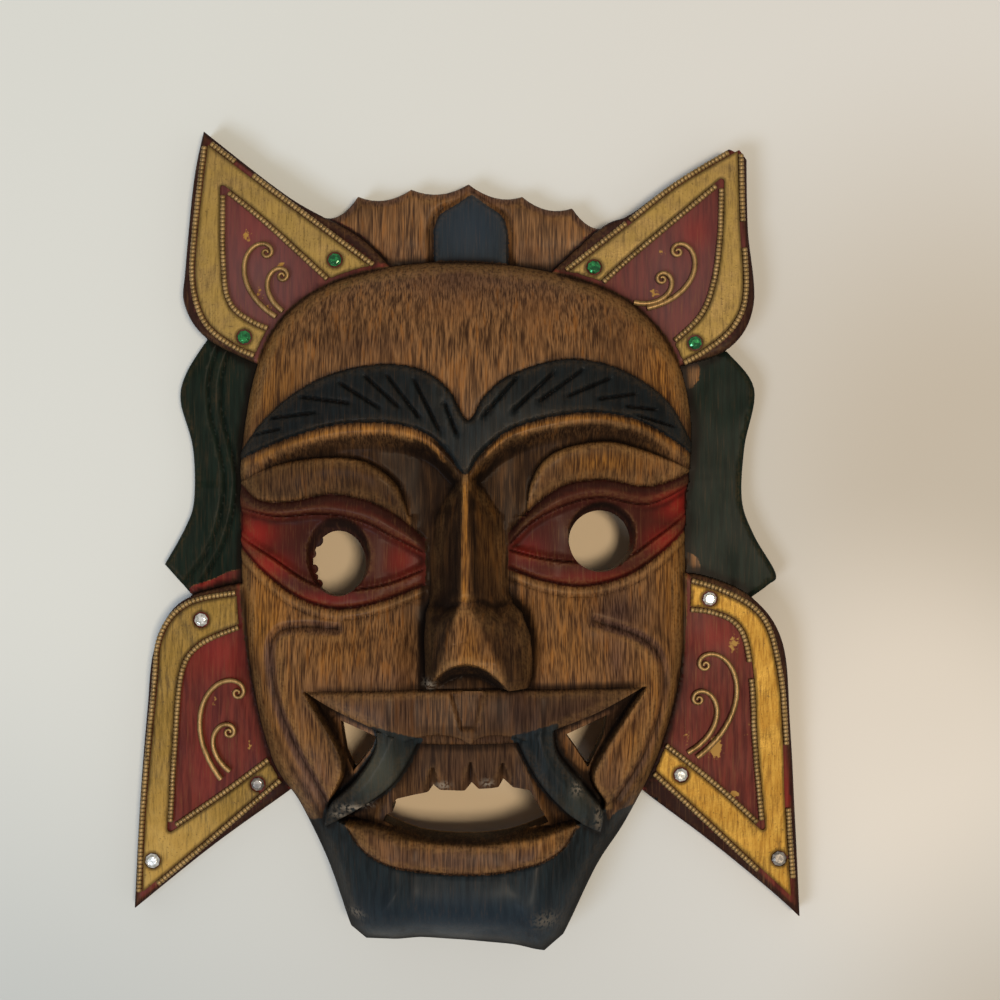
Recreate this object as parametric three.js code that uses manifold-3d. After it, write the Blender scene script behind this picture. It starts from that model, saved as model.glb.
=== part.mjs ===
// A carved wooden dance mask of a fanged guardian, 22 cm wide and 26 cm tall, lying on its open back.
// One block of wood makes the face, the crest, the four pointed ears and the two side locks. Each ear is
// trimmed with a brass band between two lines of beaded wire, a pair of wire scrolls and glass stones.
//
// Millimetres, +Z up and out of the face, +Y to the crest, +X to the onlooker's right. Left and right in
// the names are the onlooker's. The origin is under the middle of the mask, in the plane it lies on.

import * as THREE from "three";
import { mergeVertices } from "three/addons/utils/BufferGeometryUtils.js";
import Module from "manifold-3d";

const wasm = await Module();
wasm.setup();

// ---------------------------------------------------------------- driving dimensions

const FACE = {
  rim: 11, // height of the carved face where it rises out of the ears and locks
  rise: 21, // height of the rounded shoulder above that
  dome: 8, // and of the gentle crown above the shoulder
  halfWidth: 73,
  jawRound: 17, // plan width of the shoulder at the jaw, and over the rest of the face
  round: 30,
  middle: [0, -18],
  rings: [0, 0.03, 0.08, 0.15, 0.25, 0.38, 0.54, 0.72, 0.88], // shares of the way from outline to middle
};
const SHELL = {
  depth: 25, // of the hollow behind the face, and of its shallower end behind the mouth
  mouthDepth: 19,
  reach: 0.42, // share of the way in over which the hollow's side curves up
  rings: [0.12, 0.135, 0.17, 0.24, 0.36, 0.6],
};
const CREST_TOP = 12;
const LOCK_TOP = 10;
const JEWEL_RISE = 2;
const EDGE = 0.8; // chamfer along the edges of the ears, crest and locks
const EAR = { top: 15, tilt: THREE.MathUtils.degToRad(3), depth: 30 }; // each ear slopes down to its tip

const SEAT = 0.3; // clearance under and beside every piece of trim
const BAND_THICK = 0.6;
const BEAD = { radius: 0.7, sides: 5, spacing: 8, mitre: 2.3 }; // mitre: where a wire stops short of a corner
const SCROLL = {
  radius: 0.65,
  sides: 5,
  steps: 17,
  turn: 470, // degrees of winding
  curl: 60, // degrees over which the stem's distance from the eye falls to a third
  eye: 2.5, // radius of the eye, and the share of it that the winding closes
  close: 0.42,
};
const STONE = { radius: 2.2, table: 1.3, height: 1.3, facets: 8, hole: 2.6 };

const WOOD = { color: 0x674b32, roughness: 0.55, metalness: 0 };
const BRASS = { color: 0x9a7b3a, roughness: 0.45, metalness: 1 };
const GREEN_GLASS = { color: 0x1f8a4c, roughness: 0.1, metalness: 0 };
const CLEAR_GLASS = { color: 0xc9cdc6, roughness: 0.1, metalness: 0 };

// ---------------------------------------------------------------- outlines, in plan

// A list of runs, each a smooth curve through its points. A run starts where the one before it ended.
const FACE_RUNS = [
  [[-37, -123], [-44, -103], [-53, -84.5], [-63, -69], [-70.5, -37], [-73, -4], [-72, 34], [-63, 67],
    [-40, 84.5], [0, 90], [42, 82.5], [64, 66], [72.5, 40], [71, 5], [70.2, -36], [63, -66], [51.7, -89],
    [42, -104], [31.5, -126]],
  [[31.5, -126], [25.3, -131.6]],
  [[25.3, -131.6], [-4, -128.8], [-32, -127.4]],
  [[-32, -127.4], [-37, -123]],
];
const CREST_TEETH = [[-46, 104.5], [-35.2, 111.4], [-17.9, 113.7], [0.7, 115.4], [18.1, 111.3], [34.3, 107.6],
  [45, 101.2]];
const CREST_SAG = 2.4;
const JEWEL_RUNS = [
  [[-10.5, 86], [-10.5, 100]],
  [[-10.5, 100], [-8.4, 105], [-3, 108.4], [1.7, 111.5]],
  [[1.7, 111.5], [7, 107.8], [11.8, 104.2], [13.6, 98.5]],
  [[13.6, 98.5], [13.6, 86]],
  [[13.6, 86], [-10.5, 86]],
];
const LEFT_LOCK_RUNS = [
  [[-60, 60], [-84, 65.5]],
  [[-84, 65.5], [-91, 54.5], [-93, 45], [-89, 30], [-88.6, 13], [-91.5, 3.8], [-98.1, -8]],
  [[-98.1, -8], [-89, -18.2]],
  [[-89, -18.2], [-62, -30]],
  [[-62, -30], [-60, 60]],
];
const RIGHT_LOCK_RUNS = [
  [[60, -30], [92.2, -19]],
  [[92.2, -19], [98.1, -14.7], [100.6, -11], [93.5, 1.5], [89.6, 13], [90.4, 30], [93.6, 49], [84.7, 61.2]],
  [[84.7, 61.2], [60, 60]],
  [[60, 60], [60, -30]],
];

// Each ear: the edge of the wood and the lines of the outer and inner beaded wire, each as a straight run
// and a curved run that leave the ear's tip and end under the face; the middle of its hinge line; its stones
// and scrolls (eye, foot and way of winding); and which shares of each beaded wire survive.
const EARS = {
  upper_left: {
    wood: {
      straight: [[-85.2, 132.5], [-57, 110.6], [-34.5, 97.8], [-22, 85]],
      curved: [[-85.2, 132.5], [-88.2, 117], [-90.8, 88], [-91, 76], [-84, 65.3], [-68, 57], [-58, 53]],
    },
    outer: {
      straight: [[-84.3, 129.5], [-60.1, 111], [-31.8, 89.9], [-24, 84]],
      curved: [[-84.3, 129.5], [-87.4, 101.2], [-88.1, 83], [-84, 69.9], [-74.2, 61.9], [-63, 57.5]],
    },
    inner: {
      straight: [[-78.5, 113.5], [-65.6, 103.1], [-44.4, 83.7], [-36, 76]],
      curved: [[-78.5, 113.5], [-78.2, 90.2], [-76.1, 76.7], [-68.1, 69.9], [-56, 65.6]],
    },
    whole: { outer_straight: [[0, 0.18], [0.285, 1]] },
    hinge: [-52, 76],
    stones: [[-42.2, 90.1], [-71.3, 65.2]],
    glass: GREEN_GLASS,
    scrolls: { long: [[-64.3, 92.5], [-61, 71.7], -1], short: [[-59.1, 84.9], [-58.8, 73.5], -1] },
  },
  upper_right: {
    wood: {
      straight: [[91, 130.3], [66.1, 114.7], [52.8, 105], [43.4, 100.6], [24, 83]],
      curved: [[91, 130.3], [90.9, 117], [91.2, 100], [92.9, 76], [85, 62], [68, 56], [58, 52]],
    },
    blunt: [[78, 140], [82.5, 126.6], [84.9, 126.6], [86.9, 125.4], [88.3, 126.2], [90.4, 123.4], [99, 120],
      [99, 140]],
    outer: {
      straight: [[88.7, 127.5], [67.9, 114.9], [51.2, 101.7], [33.6, 87.9], [26, 82]],
      curved: [[88.7, 127.5], [89.2, 103.2], [90.1, 80.1], [86.1, 68.8], [76.3, 60.4], [62, 53]],
    },
    inner: {
      straight: [[82.4, 115.7], [70.9, 106.1], [51.2, 89.4], [36, 75]],
      curved: [[82.4, 115.7], [81.7, 97.3], [79.5, 82.5], [75.3, 72.2], [66.5, 63.6], [60, 58]],
    },
    whole: {
      outer_straight: [[0.065, 0.625], [0.645, 1]],
      outer_curved: [[0.035, 0.31], [0.417, 1]],
    },
    hinge: [52, 76],
    stones: [[41.1, 87.7], [73.6, 63.4]],
    glass: GREEN_GLASS,
    scrolls: { long: [[68.1, 92.8], [58.1, 74.4], 1], short: [[63, 83.9], [53.9, 76.3], 1] },
  },
  lower_left: {
    wood: {
      straight: [[-107.8, -119.8], [-82, -98.9], [-56.5, -80.4], [-46, -72]],
      curved: [[-107.8, -119.8], [-105.6, -84], [-103, -55], [-100.6, -35], [-93, -20.8], [-78, -15],
        [-62, -13]],
    },
    outer: {
      straight: [[-105.9, -116.2], [-88.9, -102.1], [-60.9, -78.2], [-54, -72.3]],
      curved: [[-105.9, -116.2], [-104.4, -87.4], [-100.4, -47.6], [-98.2, -30.7], [-89.7, -20.4],
        [-73.5, -16.7], [-63, -16]],
    },
    inner: {
      straight: [[-95.6, -93.3], [-77.9, -81.2], [-62.4, -69.7], [-54, -64]],
      curved: [[-95.6, -93.3], [-93.7, -65.3], [-91.5, -43.2], [-86, -34], [-73.5, -28.1], [-63, -24.5]],
    },
    whole: { outer_straight: [[0.13, 1]] },
    hinge: [-69, -50],
    stones: [[-85, -25.5], [-67.1, -78.6], [-101.4, -103.7]],
    glass: CLEAR_GLASS,
    scrolls: { long: [[-73.4, -49], [-78.9, -77], -1], short: [[-76.2, -61.7], [-76, -74.4], -1] },
  },
  lower_right: {
    wood: {
      straight: [[108.3, -122.6], [98.6, -113.7], [78.8, -97.4], [58.3, -81.9], [47, -72]],
      curved: [[108.3, -122.6], [106.9, -97], [104.7, -60], [102, -33], [92, -18.5], [76, -11.5],
        [60, -10.5]],
    },
    outer: {
      straight: [[106.3, -117.8], [94.4, -106.7], [77, -90.4], [61.5, -76], [54, -69]],
      curved: [[106.3, -117.8], [103.9, -86.6], [102.9, -62.4], [100.9, -41.9], [95.2, -24.5], [80.8, -15.4],
        [62, -10.6]],
    },
    inner: {
      straight: [[95.6, -92.7], [80.8, -79], [64.2, -65.8], [56, -59.5]],
      curved: [[95.6, -92.7], [92.9, -65.4], [91.8, -45.7], [88.4, -29.1], [78.5, -23], [62, -22]],
    },
    whole: {
      outer_straight: [[0.26, 1]],
      outer_curved: [[0.07, 0.26], [0.43, 1]],
      inner_curved: [[0, 0.585], [0.65, 1]],
    },
    hinge: [68, -50],
    stones: [[78.1, -18.7], [69.2, -75.6], [101.1, -103]],
    glass: CLEAR_GLASS,
    scrolls: { long: [[76.8, -40], [74.3, -69.9], 1], short: [[74.7, -51.1], [71.3, -68.4], 1] },
  },
};

// Carved features of the face. Lines that run across the face are curves y(x).
const BROW_TOP = [[-70, 31], [-62, 40], [-50, 48.5], [-37, 53.4], [-24, 55], [-13, 53], [-5, 47], [1, 37.5],
  [6, 45], [14, 51.5], [30, 56.6], [45, 55], [57, 49.5], [65, 43], [70, 34]];
const BROW_BOTTOM = [[-70, 27], [-56, 32], [-42, 35.8], [-30, 36.8], [-20, 36], [-11, 32.8], [-5, 27],
  [0.2, 20.6], [5, 27], [14, 34.4], [28, 38.7], [40, 40], [52, 38.4], [61, 34.5], [70, 29]];
const BROW_RISE = 2;
const LEFT_EYE = {
  arch: [[-71, 19], [-58, 24.5], [-42, 26.4], [-30, 24.5], [-21, 17.5], [-17.8, 8]], // fold above the lid
  top: [[-73, 19], [-66, 13], [-56, 12.3], [-42, 14.6], [-30, 12.4], [-20, 7], [-12, 0]],
  lash: [[-73, 10.5], [-60, 7.8], [-45, 8.6], [-32, 6.3], [-22, 1.2], [-12, -4]],
  ledge: [[-73, 1], [-62, -4.8], [-50, -12.4], [-39, -15.1], [-25, -13.4], [-12, -8.4]],
  bottom: [[-73, -1.5], [-62, -11.4], [-52, -18], [-40, -21], [-27, -18.8], [-12, -13.2]],
  hole: { at: [-39.8, -4.8], radii: [9.9, 11.4] },
};
const RIGHT_EYE = {
  arch: [[19, 8], [21, 20], [28, 28], [43, 31.5], [56, 28.9], [71, 23]],
  top: [[13, 2], [22, 11.5], [32, 17.8], [44, 19.2], [58, 17.2], [72, 21.5]],
  lash: [[13, -2], [21, 6], [32, 11.6], [43, 13.7], [58, 11.7], [72, 18]],
  ledge: [[13, -2.4], [24, -5.2], [36, -6.4], [50, -5.4], [60, 0.8], [72, 9]],
  bottom: [[13, -8], [24, -12], [37, -13.9], [50, -11], [60, -5.2], [72, 5]],
  hole: { at: [42.3, 1.4], radii: [10, 11] },
};
const NOSE = {
  // distance up the face, ridge height, left and right half-widths, width of the ridge, height of the sides
  stations: [
    [21, 42, 2.5, 2.5, 1.5, 34], [8, 46.5, 9, 10.5, 2.4, 34], [-5, 50, 11, 12.5, 2.6, 34],
    [-18, 53.5, 11.5, 13, 3, 36], [-22, 53, 12.5, 16, 4.5, 41], [-30, 55.5, 13.2, 18.2, 9, 43.5],
    [-38.5, 57.5, 13, 18.6, 16, 43], [-41.5, 55.5, 12.6, 17, 17.5, 42], [-46, 42, 11.8, 14, 19, 38],
  ],
  x: 0.3,
  foot: 24,
};
const LIP = {
  top: [[-50, -46.5], [-25, -45.6], [20, -45], [57, -45.2]],
  bottom: [[57, -45.4], [41, -53.2], [27, -58.4], [19, -61.3], [11, -58.6], [2, -61.6], [-7, -58.4],
    [-14, -61.8], [-22, -60.2], [-40, -52.4], [-50, -46.8]],
  rise: 2.4,
};
const MOUTH = {
  runs: [
    [[-50, -46.8], [-38, -68], [-43, -83], [-38, -88]],
    [[-38, -88], [-27.5, -87.9], [-14, -91.8], [0, -93], [14, -92.1], [27, -89.1], [36, -87.5]],
    [[36, -87.5], [44, -82.5], [40.5, -70.5], [57, -45.4]],
    [[57, -45.4], [-50, -46.8]],
  ],
  sink: 8,
  opening: [
    [[-21, -79.6], [-25.3, -86.6]],
    [[-25.3, -86.6], [-14, -91.2], [0, -92.5], [14, -91.3], [26, -87]],
    [[26, -87], [20.2, -77]],
    [[20.2, -77], [15, -76.3], [12, -73.7], [10.4, -76.3], [4.2, -76.7], [2.2, -74.8], [0, -77.3],
      [-7.8, -77], [-9.8, -75.6], [-11.4, -77.8], [-21, -79.6]],
  ],
  leftCorner: [[-39, -56], [-27.6, -60.8], [-29, -64.4], [-35, -72], [-37.6, -66], [-39, -56]],
  rightCorner: [[31.4, -60.3], [44.6, -54.5], [43.4, -61], [38.5, -71], [34.4, -64.6], [31.4, -60.3]],
};
const TEETH = { left: -21, right: 20, top: -56, low: -79.8, rise: 4 };
const TUSKS = {
  left: [[[-28, -57], [-13.5, -61]], [[-13.5, -61], [-21, -74], [-33, -83.5], [-44.5, -90]],
    [[-44.5, -90], [-42.5, -82], [-34, -73.5], [-28, -64], [-28, -57]]],
  right: [[[15, -60], [28, -56]], [[28, -56], [29, -65], [37.5, -76], [43.3, -84], [42.5, -91.5]],
    [[42.5, -91.5], [32, -85], [22, -73.5], [15, -60]]],
  rise: 11,
};
const LOWER_LIP = {
  runs: [
    [[-37, -88.4], [-27.5, -87.9], [-14, -91.8], [0, -93], [14, -92.1], [27, -89.1], [35, -87.6]],
    [[35, -87.6], [29, -96.2], [14, -101.3], [-4, -102.3], [-20, -100.3], [-31, -96], [-37, -88.4]],
  ],
  rise: 2,
};
const CHIN = { rise: 4, middle: [-2, -114], spread: [30, 13] };

// ---------------------------------------------------------------- solids and booleans

const solid = (geometry, matrix = new THREE.Matrix4()) => {
  const bare = (geometry.index ? geometry.toNonIndexed() : geometry.clone()).applyMatrix4(matrix);
  bare.deleteAttribute("normal");
  bare.deleteAttribute("uv");
  const merged = mergeVertices(bare, 1e-3);
  return new wasm.Manifold(
    new wasm.Mesh({
      numProp: 3,
      vertProperties: merged.attributes.position.array,
      triVerts: new Uint32Array(merged.index.array),
    }),
  );
};

const geometryOf = (made) => {
  const mesh = made.getMesh();
  const geometry = new THREE.BufferGeometry();
  geometry.setAttribute("position", new THREE.BufferAttribute(mesh.vertProperties, mesh.numProp));
  geometry.setIndex(new THREE.BufferAttribute(mesh.triVerts, 1));
  geometry.computeVertexNormals();
  return geometry;
};

const { clamp, lerp, smoothstep } = THREE.MathUtils;

const vectors = (points) => points.map(([x, y]) => new THREE.Vector2(x, y));

const shapeOf = (runs) => {
  const shape = new THREE.Shape().moveTo(...runs[0][0]);
  for (const run of runs) {
    if (run.length === 2) shape.lineTo(...run[1]);
    else shape.splineThru(vectors(run.slice(1)));
  }
  return shape;
};

// Straight runs through a list of corners.
const cornered = (points) => points.slice(1).map((p, i) => [points[i], p]);

const raiseBy = (z) => new THREE.Matrix4().makeTranslation(0, 0, z);

const prism = (shape, low, high, curveSegments = 2) =>
  solid(
    new THREE.ExtrudeGeometry(shape, { depth: high - low, bevelEnabled: false, curveSegments }),
    raiseBy(low),
  );

// A board with chamfered edges whose face is at height top.
const board = (shape, low, top, curveSegments = 2, placed = raiseBy(0)) =>
  solid(
    new THREE.ExtrudeGeometry(shape, {
      depth: top - EDGE - low,
      bevelThickness: EDGE,
      bevelSize: EDGE,
      bevelOffset: -EDGE,
      bevelSegments: 1,
      curveSegments,
    }),
    placed.clone().multiply(raiseBy(low)),
  );

// A block on the given floor whose upper side is the surface height(x, y, share). Its facets run in rings
// from the outline towards the middle of the face, and share is how much of that way a point has come.
const ringBlock = (outline, rings, floor, height) => {
  const [mx, my] = FACE.middle;
  const points = outline.flatMap((p) => [lerp(p.x, mx, rings[0]), lerp(p.y, my, rings[0]), floor]);
  for (const share of rings) {
    for (const p of outline) {
      const x = lerp(p.x, mx, share);
      const y = lerp(p.y, my, share);
      points.push(x, y, height(x, y, share));
    }
  }
  points.push(mx, my, height(mx, my, 1), mx, my, floor);
  const around = outline.length;
  const middle = around * (rings.length + 1);
  const faces = [];
  for (let i = 0; i < around; i++) {
    const next = (i + 1) % around;
    for (let ring = 0; ring < rings.length; ring++) {
      const a = ring * around;
      faces.push(a + i, a + around + i, a + next, a + next, a + around + i, a + around + next);
    }
    faces.push(middle - around + i, middle, middle - around + next, i, next, middle + 1);
  }
  const block = new THREE.BufferGeometry();
  block.setAttribute("position", new THREE.Float32BufferAttribute(points, 3));
  block.setIndex(faces);
  return block;
};

// A solid through a row of closed sections with equally many points, from first to last.
const loft = (sections) => {
  const ring = sections[0].length;
  const points = sections.flat(2);
  const faces = [];
  for (let s = 0; s < sections.length - 1; s++) {
    for (let i = 0; i < ring; i++) {
      const a = s * ring + i;
      const b = s * ring + ((i + 1) % ring);
      faces.push(a, a + ring, b, b, a + ring, b + ring);
    }
  }
  const last = (sections.length - 1) * ring;
  for (let i = 1; i < ring - 1; i++) faces.push(0, i, i + 1, last, last + i + 1, last + i);
  const geometry = new THREE.BufferGeometry();
  geometry.setAttribute("position", new THREE.Float32BufferAttribute(points, 3));
  geometry.setIndex(faces);
  return solid(geometry);
};

// ---------------------------------------------------------------- curves

// Height y of a smooth curve through points ordered by x.
const curveY = (points) => {
  const samples = new THREE.SplineCurve(vectors(points)).getPoints(points.length * 8);
  return (x) => {
    const i = clamp(samples.findIndex((p) => p.x > x), 1, samples.length - 1);
    const share = clamp((x - samples[i - 1].x) / (samples[i].x - samples[i - 1].x), 0, 1);
    return lerp(samples[i - 1].y, samples[i].y, share);
  };
};

const nearest = (x, y, a, b) => {
  const t = clamp(((x - a.x) * (b.x - a.x) + (y - a.y) * (b.y - a.y)) / a.distanceToSquared(b), 0, 1);
  return Math.hypot(x - lerp(a.x, b.x, t), y - lerp(a.y, b.y, t));
};

// How far a point lies inside a closed outline; negative outside.
const depthInside = (outline) => (x, y) => {
  let least = Infinity;
  let inside = false;
  outline.forEach((a, i) => {
    const b = outline[(i + 1) % outline.length];
    if (a.distanceToSquared(b) < 1e-9) return;
    least = Math.min(least, nearest(x, y, a, b));
    if (a.y > y !== b.y > y && x < ((b.x - a.x) * (y - a.y)) / (b.y - a.y) + a.x) inside = !inside;
  });
  return inside ? least : -least;
};

// A polyline moved sideways, to its left for a positive distance.
const beside = (line, distance) =>
  line.map((p, i) => {
    const along = line[Math.min(i + 1, line.length - 1)].clone().sub(line[Math.max(i - 1, 0)]).normalize();
    return new THREE.Vector2(p.x - along.y * distance, p.y + along.x * distance);
  });

const crossing = (a, b, c, d) => {
  const r = b.clone().sub(a);
  const s = d.clone().sub(c);
  const turn = r.cross(s);
  const t = c.clone().sub(a).cross(s) / turn;
  const u = c.clone().sub(a).cross(r) / turn;
  return t >= 0 && t <= 1 && u >= 0 && u <= 1 ? a.clone().addScaledVector(r, t) : null;
};

// Two lines that start near each other, both cut off where they cross.
const mitred = (one, two) => {
  for (let i = 0; i < one.length - 1; i++) {
    for (let j = 0; j < two.length - 1; j++) {
      const at = crossing(one[i], one[i + 1], two[j], two[j + 1]);
      if (at) return [[at, ...one.slice(i + 1)], [at, ...two.slice(j + 1)]];
    }
  }
  return [one, two];
};

// ---------------------------------------------------------------- the carved face

const faceOutline = shapeOf(FACE_RUNS).getPoints(2).slice(0, -1);
const insideFace = depthInside(faceOutline);

const round = (share) => Math.sqrt(1 - (1 - clamp(share, 0, 1)) ** 2);

const faceBase = (x, y) => {
  const inside = insideFace(x, y);
  const reach = lerp(FACE.jawRound, FACE.round, smoothstep(y, -122, -60));
  const crown = FACE.dome * (1 - (x / FACE.halfWidth) ** 2) * smoothstep(inside, 0, reach * 1.6);
  return FACE.rim + FACE.rise * round(inside / reach) + Math.max(0, crown);
};

const eyeCurves = [LEFT_EYE, RIGHT_EYE].map((eye) => ({
  ...eye,
  arch: curveY(eye.arch),
  top: curveY(eye.top),
  bottom: curveY(eye.bottom),
}));
const browBottom = curveY(BROW_BOTTOM);

// The hollow of an eye under the brow, with the lid swelling out of it again.
const eyeRelief = (x, y) => {
  const eye = eyeCurves[x < 0 ? 0 : 1];
  const away = Math.abs(x - NOSE.x);
  const beforeTemple = 1 - smoothstep(away, 50, 70);
  const brow = browBottom(x);
  const orbit = 7.5 - 3 * smoothstep(away, 14, 30);
  const hollow = orbit * smoothstep(brow - y, 0, 7) * smoothstep(y, -48, -24);
  const arch = eye.arch(x);
  const lidHeight = Math.max(1, arch - eye.top(x));
  const onLid = clamp((arch - y) / lidHeight, 0, 1);
  const inward = smoothstep(away, 15, 24);
  const lid = 2.5 * Math.sin(Math.PI * Math.sqrt(onLid)) * inward;
  const cheek = 4 * smoothstep(eye.bottom(x) - y, 0, 16) * inward;
  return (lid + cheek - hollow) * lerp(0.35, 1, beforeTemple);
};

const chinRelief = (x, y) =>
  CHIN.rise *
  Math.exp(-(((x - CHIN.middle[0]) / CHIN.spread[0]) ** 4)) *
  Math.exp(-(((y - CHIN.middle[1]) / CHIN.spread[1]) ** 2));

const faceHeight = (x, y) => faceBase(x, y) + eyeRelief(x, y) + chinRelief(x, y);

const LOW = -5;
const HIGH = 80;
const faceSurface = ringBlock(faceOutline, FACE.rings, -1, faceHeight);
const faceAt = (rise) => solid(faceSurface, raiseBy(rise));
const raised = (shape, rise) => faceAt(rise).intersect(prism(shape, 14, HIGH, 1));
const sunk = (shape, sink) => prism(shape, 14, HIGH, 1).subtract(faceAt(-sink));

// The shape between two curves that run the same way.
const between = (top, bottom) =>
  shapeOf([top, [top.at(-1), bottom.at(-1)], [...bottom].reverse(), [bottom[0], top[0]]]);

const nose = () =>
  loft(
    NOSE.stations.map(([y, top, left, right, ridge, side]) => {
      const flank = lerp(top, side, 0.35);
      return [
        [NOSE.x - left, y, NOSE.foot],
        [NOSE.x - left, y, side],
        [NOSE.x - lerp(ridge / 2, left, 0.4), y, flank],
        [NOSE.x - ridge / 2, y, top],
        [NOSE.x + ridge / 2, y, top],
        [NOSE.x + lerp(ridge / 2, right, 0.4), y, flank],
        [NOSE.x + right, y, side],
        [NOSE.x + right, y, NOSE.foot],
      ];
    }),
  );

const teeth = () => {
  const { left, right, top, low } = TEETH;
  const block = cornered([[left, low], [right, low], [right - 3, top], [left + 3, top], [left, low]]);
  return raised(shapeOf(block), TEETH.rise - MOUTH.sink);
};

const ellipse = ({ at: [x, y], radii: [a, b] }) => new THREE.Shape().absellipse(x, y, a, b, 0, Math.PI * 2);

// The space behind the face.
const hollow = () => {
  const outline = faceOutline.filter((_, i) => i % 2 === 0);
  const height = (x, y, share) => {
    const depth = lerp(SHELL.mouthDepth, SHELL.depth, smoothstep(y, -72, -34));
    return depth * round((share - SHELL.rings[0]) / SHELL.reach);
  };
  return solid(ringBlock(outline, SHELL.rings, -3, height));
};

const carvedFace = () => {
  let face = faceAt(0);
  for (const eye of [LEFT_EYE, RIGHT_EYE]) {
    face = face.subtract(sunk(between(eye.lash, eye.ledge), 2));
    face = face.add(raised(between(eye.top, eye.lash), 1.2));
    face = face.add(raised(between(eye.ledge, eye.bottom), 1));
  }
  face = face.add(nose());
  face = face.subtract(sunk(shapeOf(MOUTH.runs), MOUTH.sink));
  face = face.add(teeth());
  face = face.add(raised(between(BROW_TOP, BROW_BOTTOM), BROW_RISE));
  face = face.add(raised(shapeOf([LIP.top, LIP.bottom]), LIP.rise));
  face = face.add(raised(shapeOf(LOWER_LIP.runs), LOWER_LIP.rise));
  for (const tusk of [TUSKS.left, TUSKS.right]) {
    face = face.add(raised(shapeOf(tusk), TUSKS.rise - MOUTH.sink));
  }
  return face;
};

// ---------------------------------------------------------------- crest, locks and ears

const crestShape = () => {
  const [first, ...rest] = CREST_TEETH;
  const shape = new THREE.Shape().moveTo(first[0], 70).lineTo(...first);
  let from = first;
  for (const to of rest) {
    shape.quadraticCurveTo((from[0] + to[0]) / 2, (from[1] + to[1]) / 2 - CREST_SAG * 2, ...to);
    from = to;
  }
  return shape.lineTo(from[0], 70);
};

const earGroup = (ear) => {
  const group = new THREE.Group();
  const tip = new THREE.Vector2(...ear.wood.straight[0]);
  const outward = tip.sub(new THREE.Vector2(...ear.hinge)).normalize();
  group.position.set(ear.hinge[0], ear.hinge[1], EAR.top);
  group.quaternion.setFromAxisAngle(new THREE.Vector3(-outward.y, outward.x, 0), EAR.tilt);
  group.updateMatrixWorld();
  return group;
};

// A shape drawn in plan, moved to the ear's own frame, whose origin is on its hinge line.
const onEar = (ear, points) => points.map((p) => new THREE.Vector2(p.x - ear.hinge[0], p.y - ear.hinge[1]));

const earBoard = (ear) => {
  const { straight, curved } = ear.wood;
  const shape = shapeOf([straight, [straight.at(-1), curved.at(-1)], [...curved].reverse()]);
  const local = new THREE.Shape(onEar(ear, shape.getPoints(2)));
  const made = board(local, -EAR.depth, 0, 1, earGroup(ear).matrixWorld);
  return ear.blunt ? made.subtract(prism(shapeOf(cornered([...ear.blunt, ear.blunt[0]])), LOW, HIGH)) : made;
};

const carvedMask = () => {
  let wood = carvedFace();
  wood = wood.add(board(crestShape(), LOW, CREST_TOP, 4));
  wood = wood.add(board(shapeOf(JEWEL_RUNS), 5, CREST_TOP + JEWEL_RISE));
  wood = wood.add(board(shapeOf(LEFT_LOCK_RUNS), LOW, LOCK_TOP));
  wood = wood.add(board(shapeOf(RIGHT_LOCK_RUNS), LOW, LOCK_TOP));
  for (const ear of Object.values(EARS)) wood = wood.add(earBoard(ear));
  wood = wood.subtract(hollow());
  for (const eye of [LEFT_EYE, RIGHT_EYE]) wood = wood.subtract(prism(ellipse(eye.hole), LOW, HIGH, 8));
  for (const gap of [MOUTH.opening, cornered(MOUTH.leftCorner), cornered(MOUTH.rightCorner)]) {
    wood = wood.subtract(prism(shapeOf(gap), LOW, HIGH));
  }
  const below = new THREE.BoxGeometry(400, 400, 100).translate(0, 0, -50);
  return wood.subtract(solid(below));
};

// ---------------------------------------------------------------- trim

const TRIM_CLEAR = 1; // between the trim's cut ends and the face
const outsideFace = (p) => insideFace(p.x, p.y) < -TRIM_CLEAR;
const curveThrough = (run) => new THREE.SplineCurve(vectors(run));

const circle = (at, radius, count) =>
  Array.from({ length: count }, (_, i) => {
    const angle = (i / count) * Math.PI * 2;
    return new THREE.Vector2(at.x + Math.cos(angle) * radius, at.y + Math.sin(angle) * radius);
  });

// The sheet between an ear's outer and inner beaded wires, cut off along the face and punched for stones.
const band = (ear) => {
  const coarse = (run) => curveThrough(run).getPoints(run.length * 2);
  const leftOf = ear.hinge[0] < 0 === ear.hinge[1] > 0 ? -1 : 1; // side of the straight runs the ear lies on
  const gap = (BEAD.radius + SEAT) * leftOf;
  const [outerStraight, outerCurved] = mitred(
    beside(coarse(ear.outer.straight), gap),
    beside(coarse(ear.outer.curved), -gap),
  );
  const innerStraight = beside(coarse(ear.inner.straight), -gap);
  const innerCurved = beside(coarse(ear.inner.curved), gap);
  const outerEdge = [...outerStraight].reverse().concat(outerCurved.slice(1));
  const loop = outerEdge.concat(innerCurved.reverse(), innerStraight);
  const cut = (points) => prism(new THREE.Shape(onEar(ear, points)), -10, 10);
  let sheet = prism(new THREE.Shape(onEar(ear, loop)), SEAT, SEAT + BAND_THICK);
  sheet = sheet.subtract(cut(beside([...faceOutline, faceOutline[1]], TRIM_CLEAR).slice(0, -1)));
  for (const at of vectors(ear.stones)) sheet = sheet.subtract(cut(circle(at, STONE.hole, 10)));
  return geometryOf(ear.blunt ? sheet.subtract(cut(vectors(ear.blunt))) : sheet);
};

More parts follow.
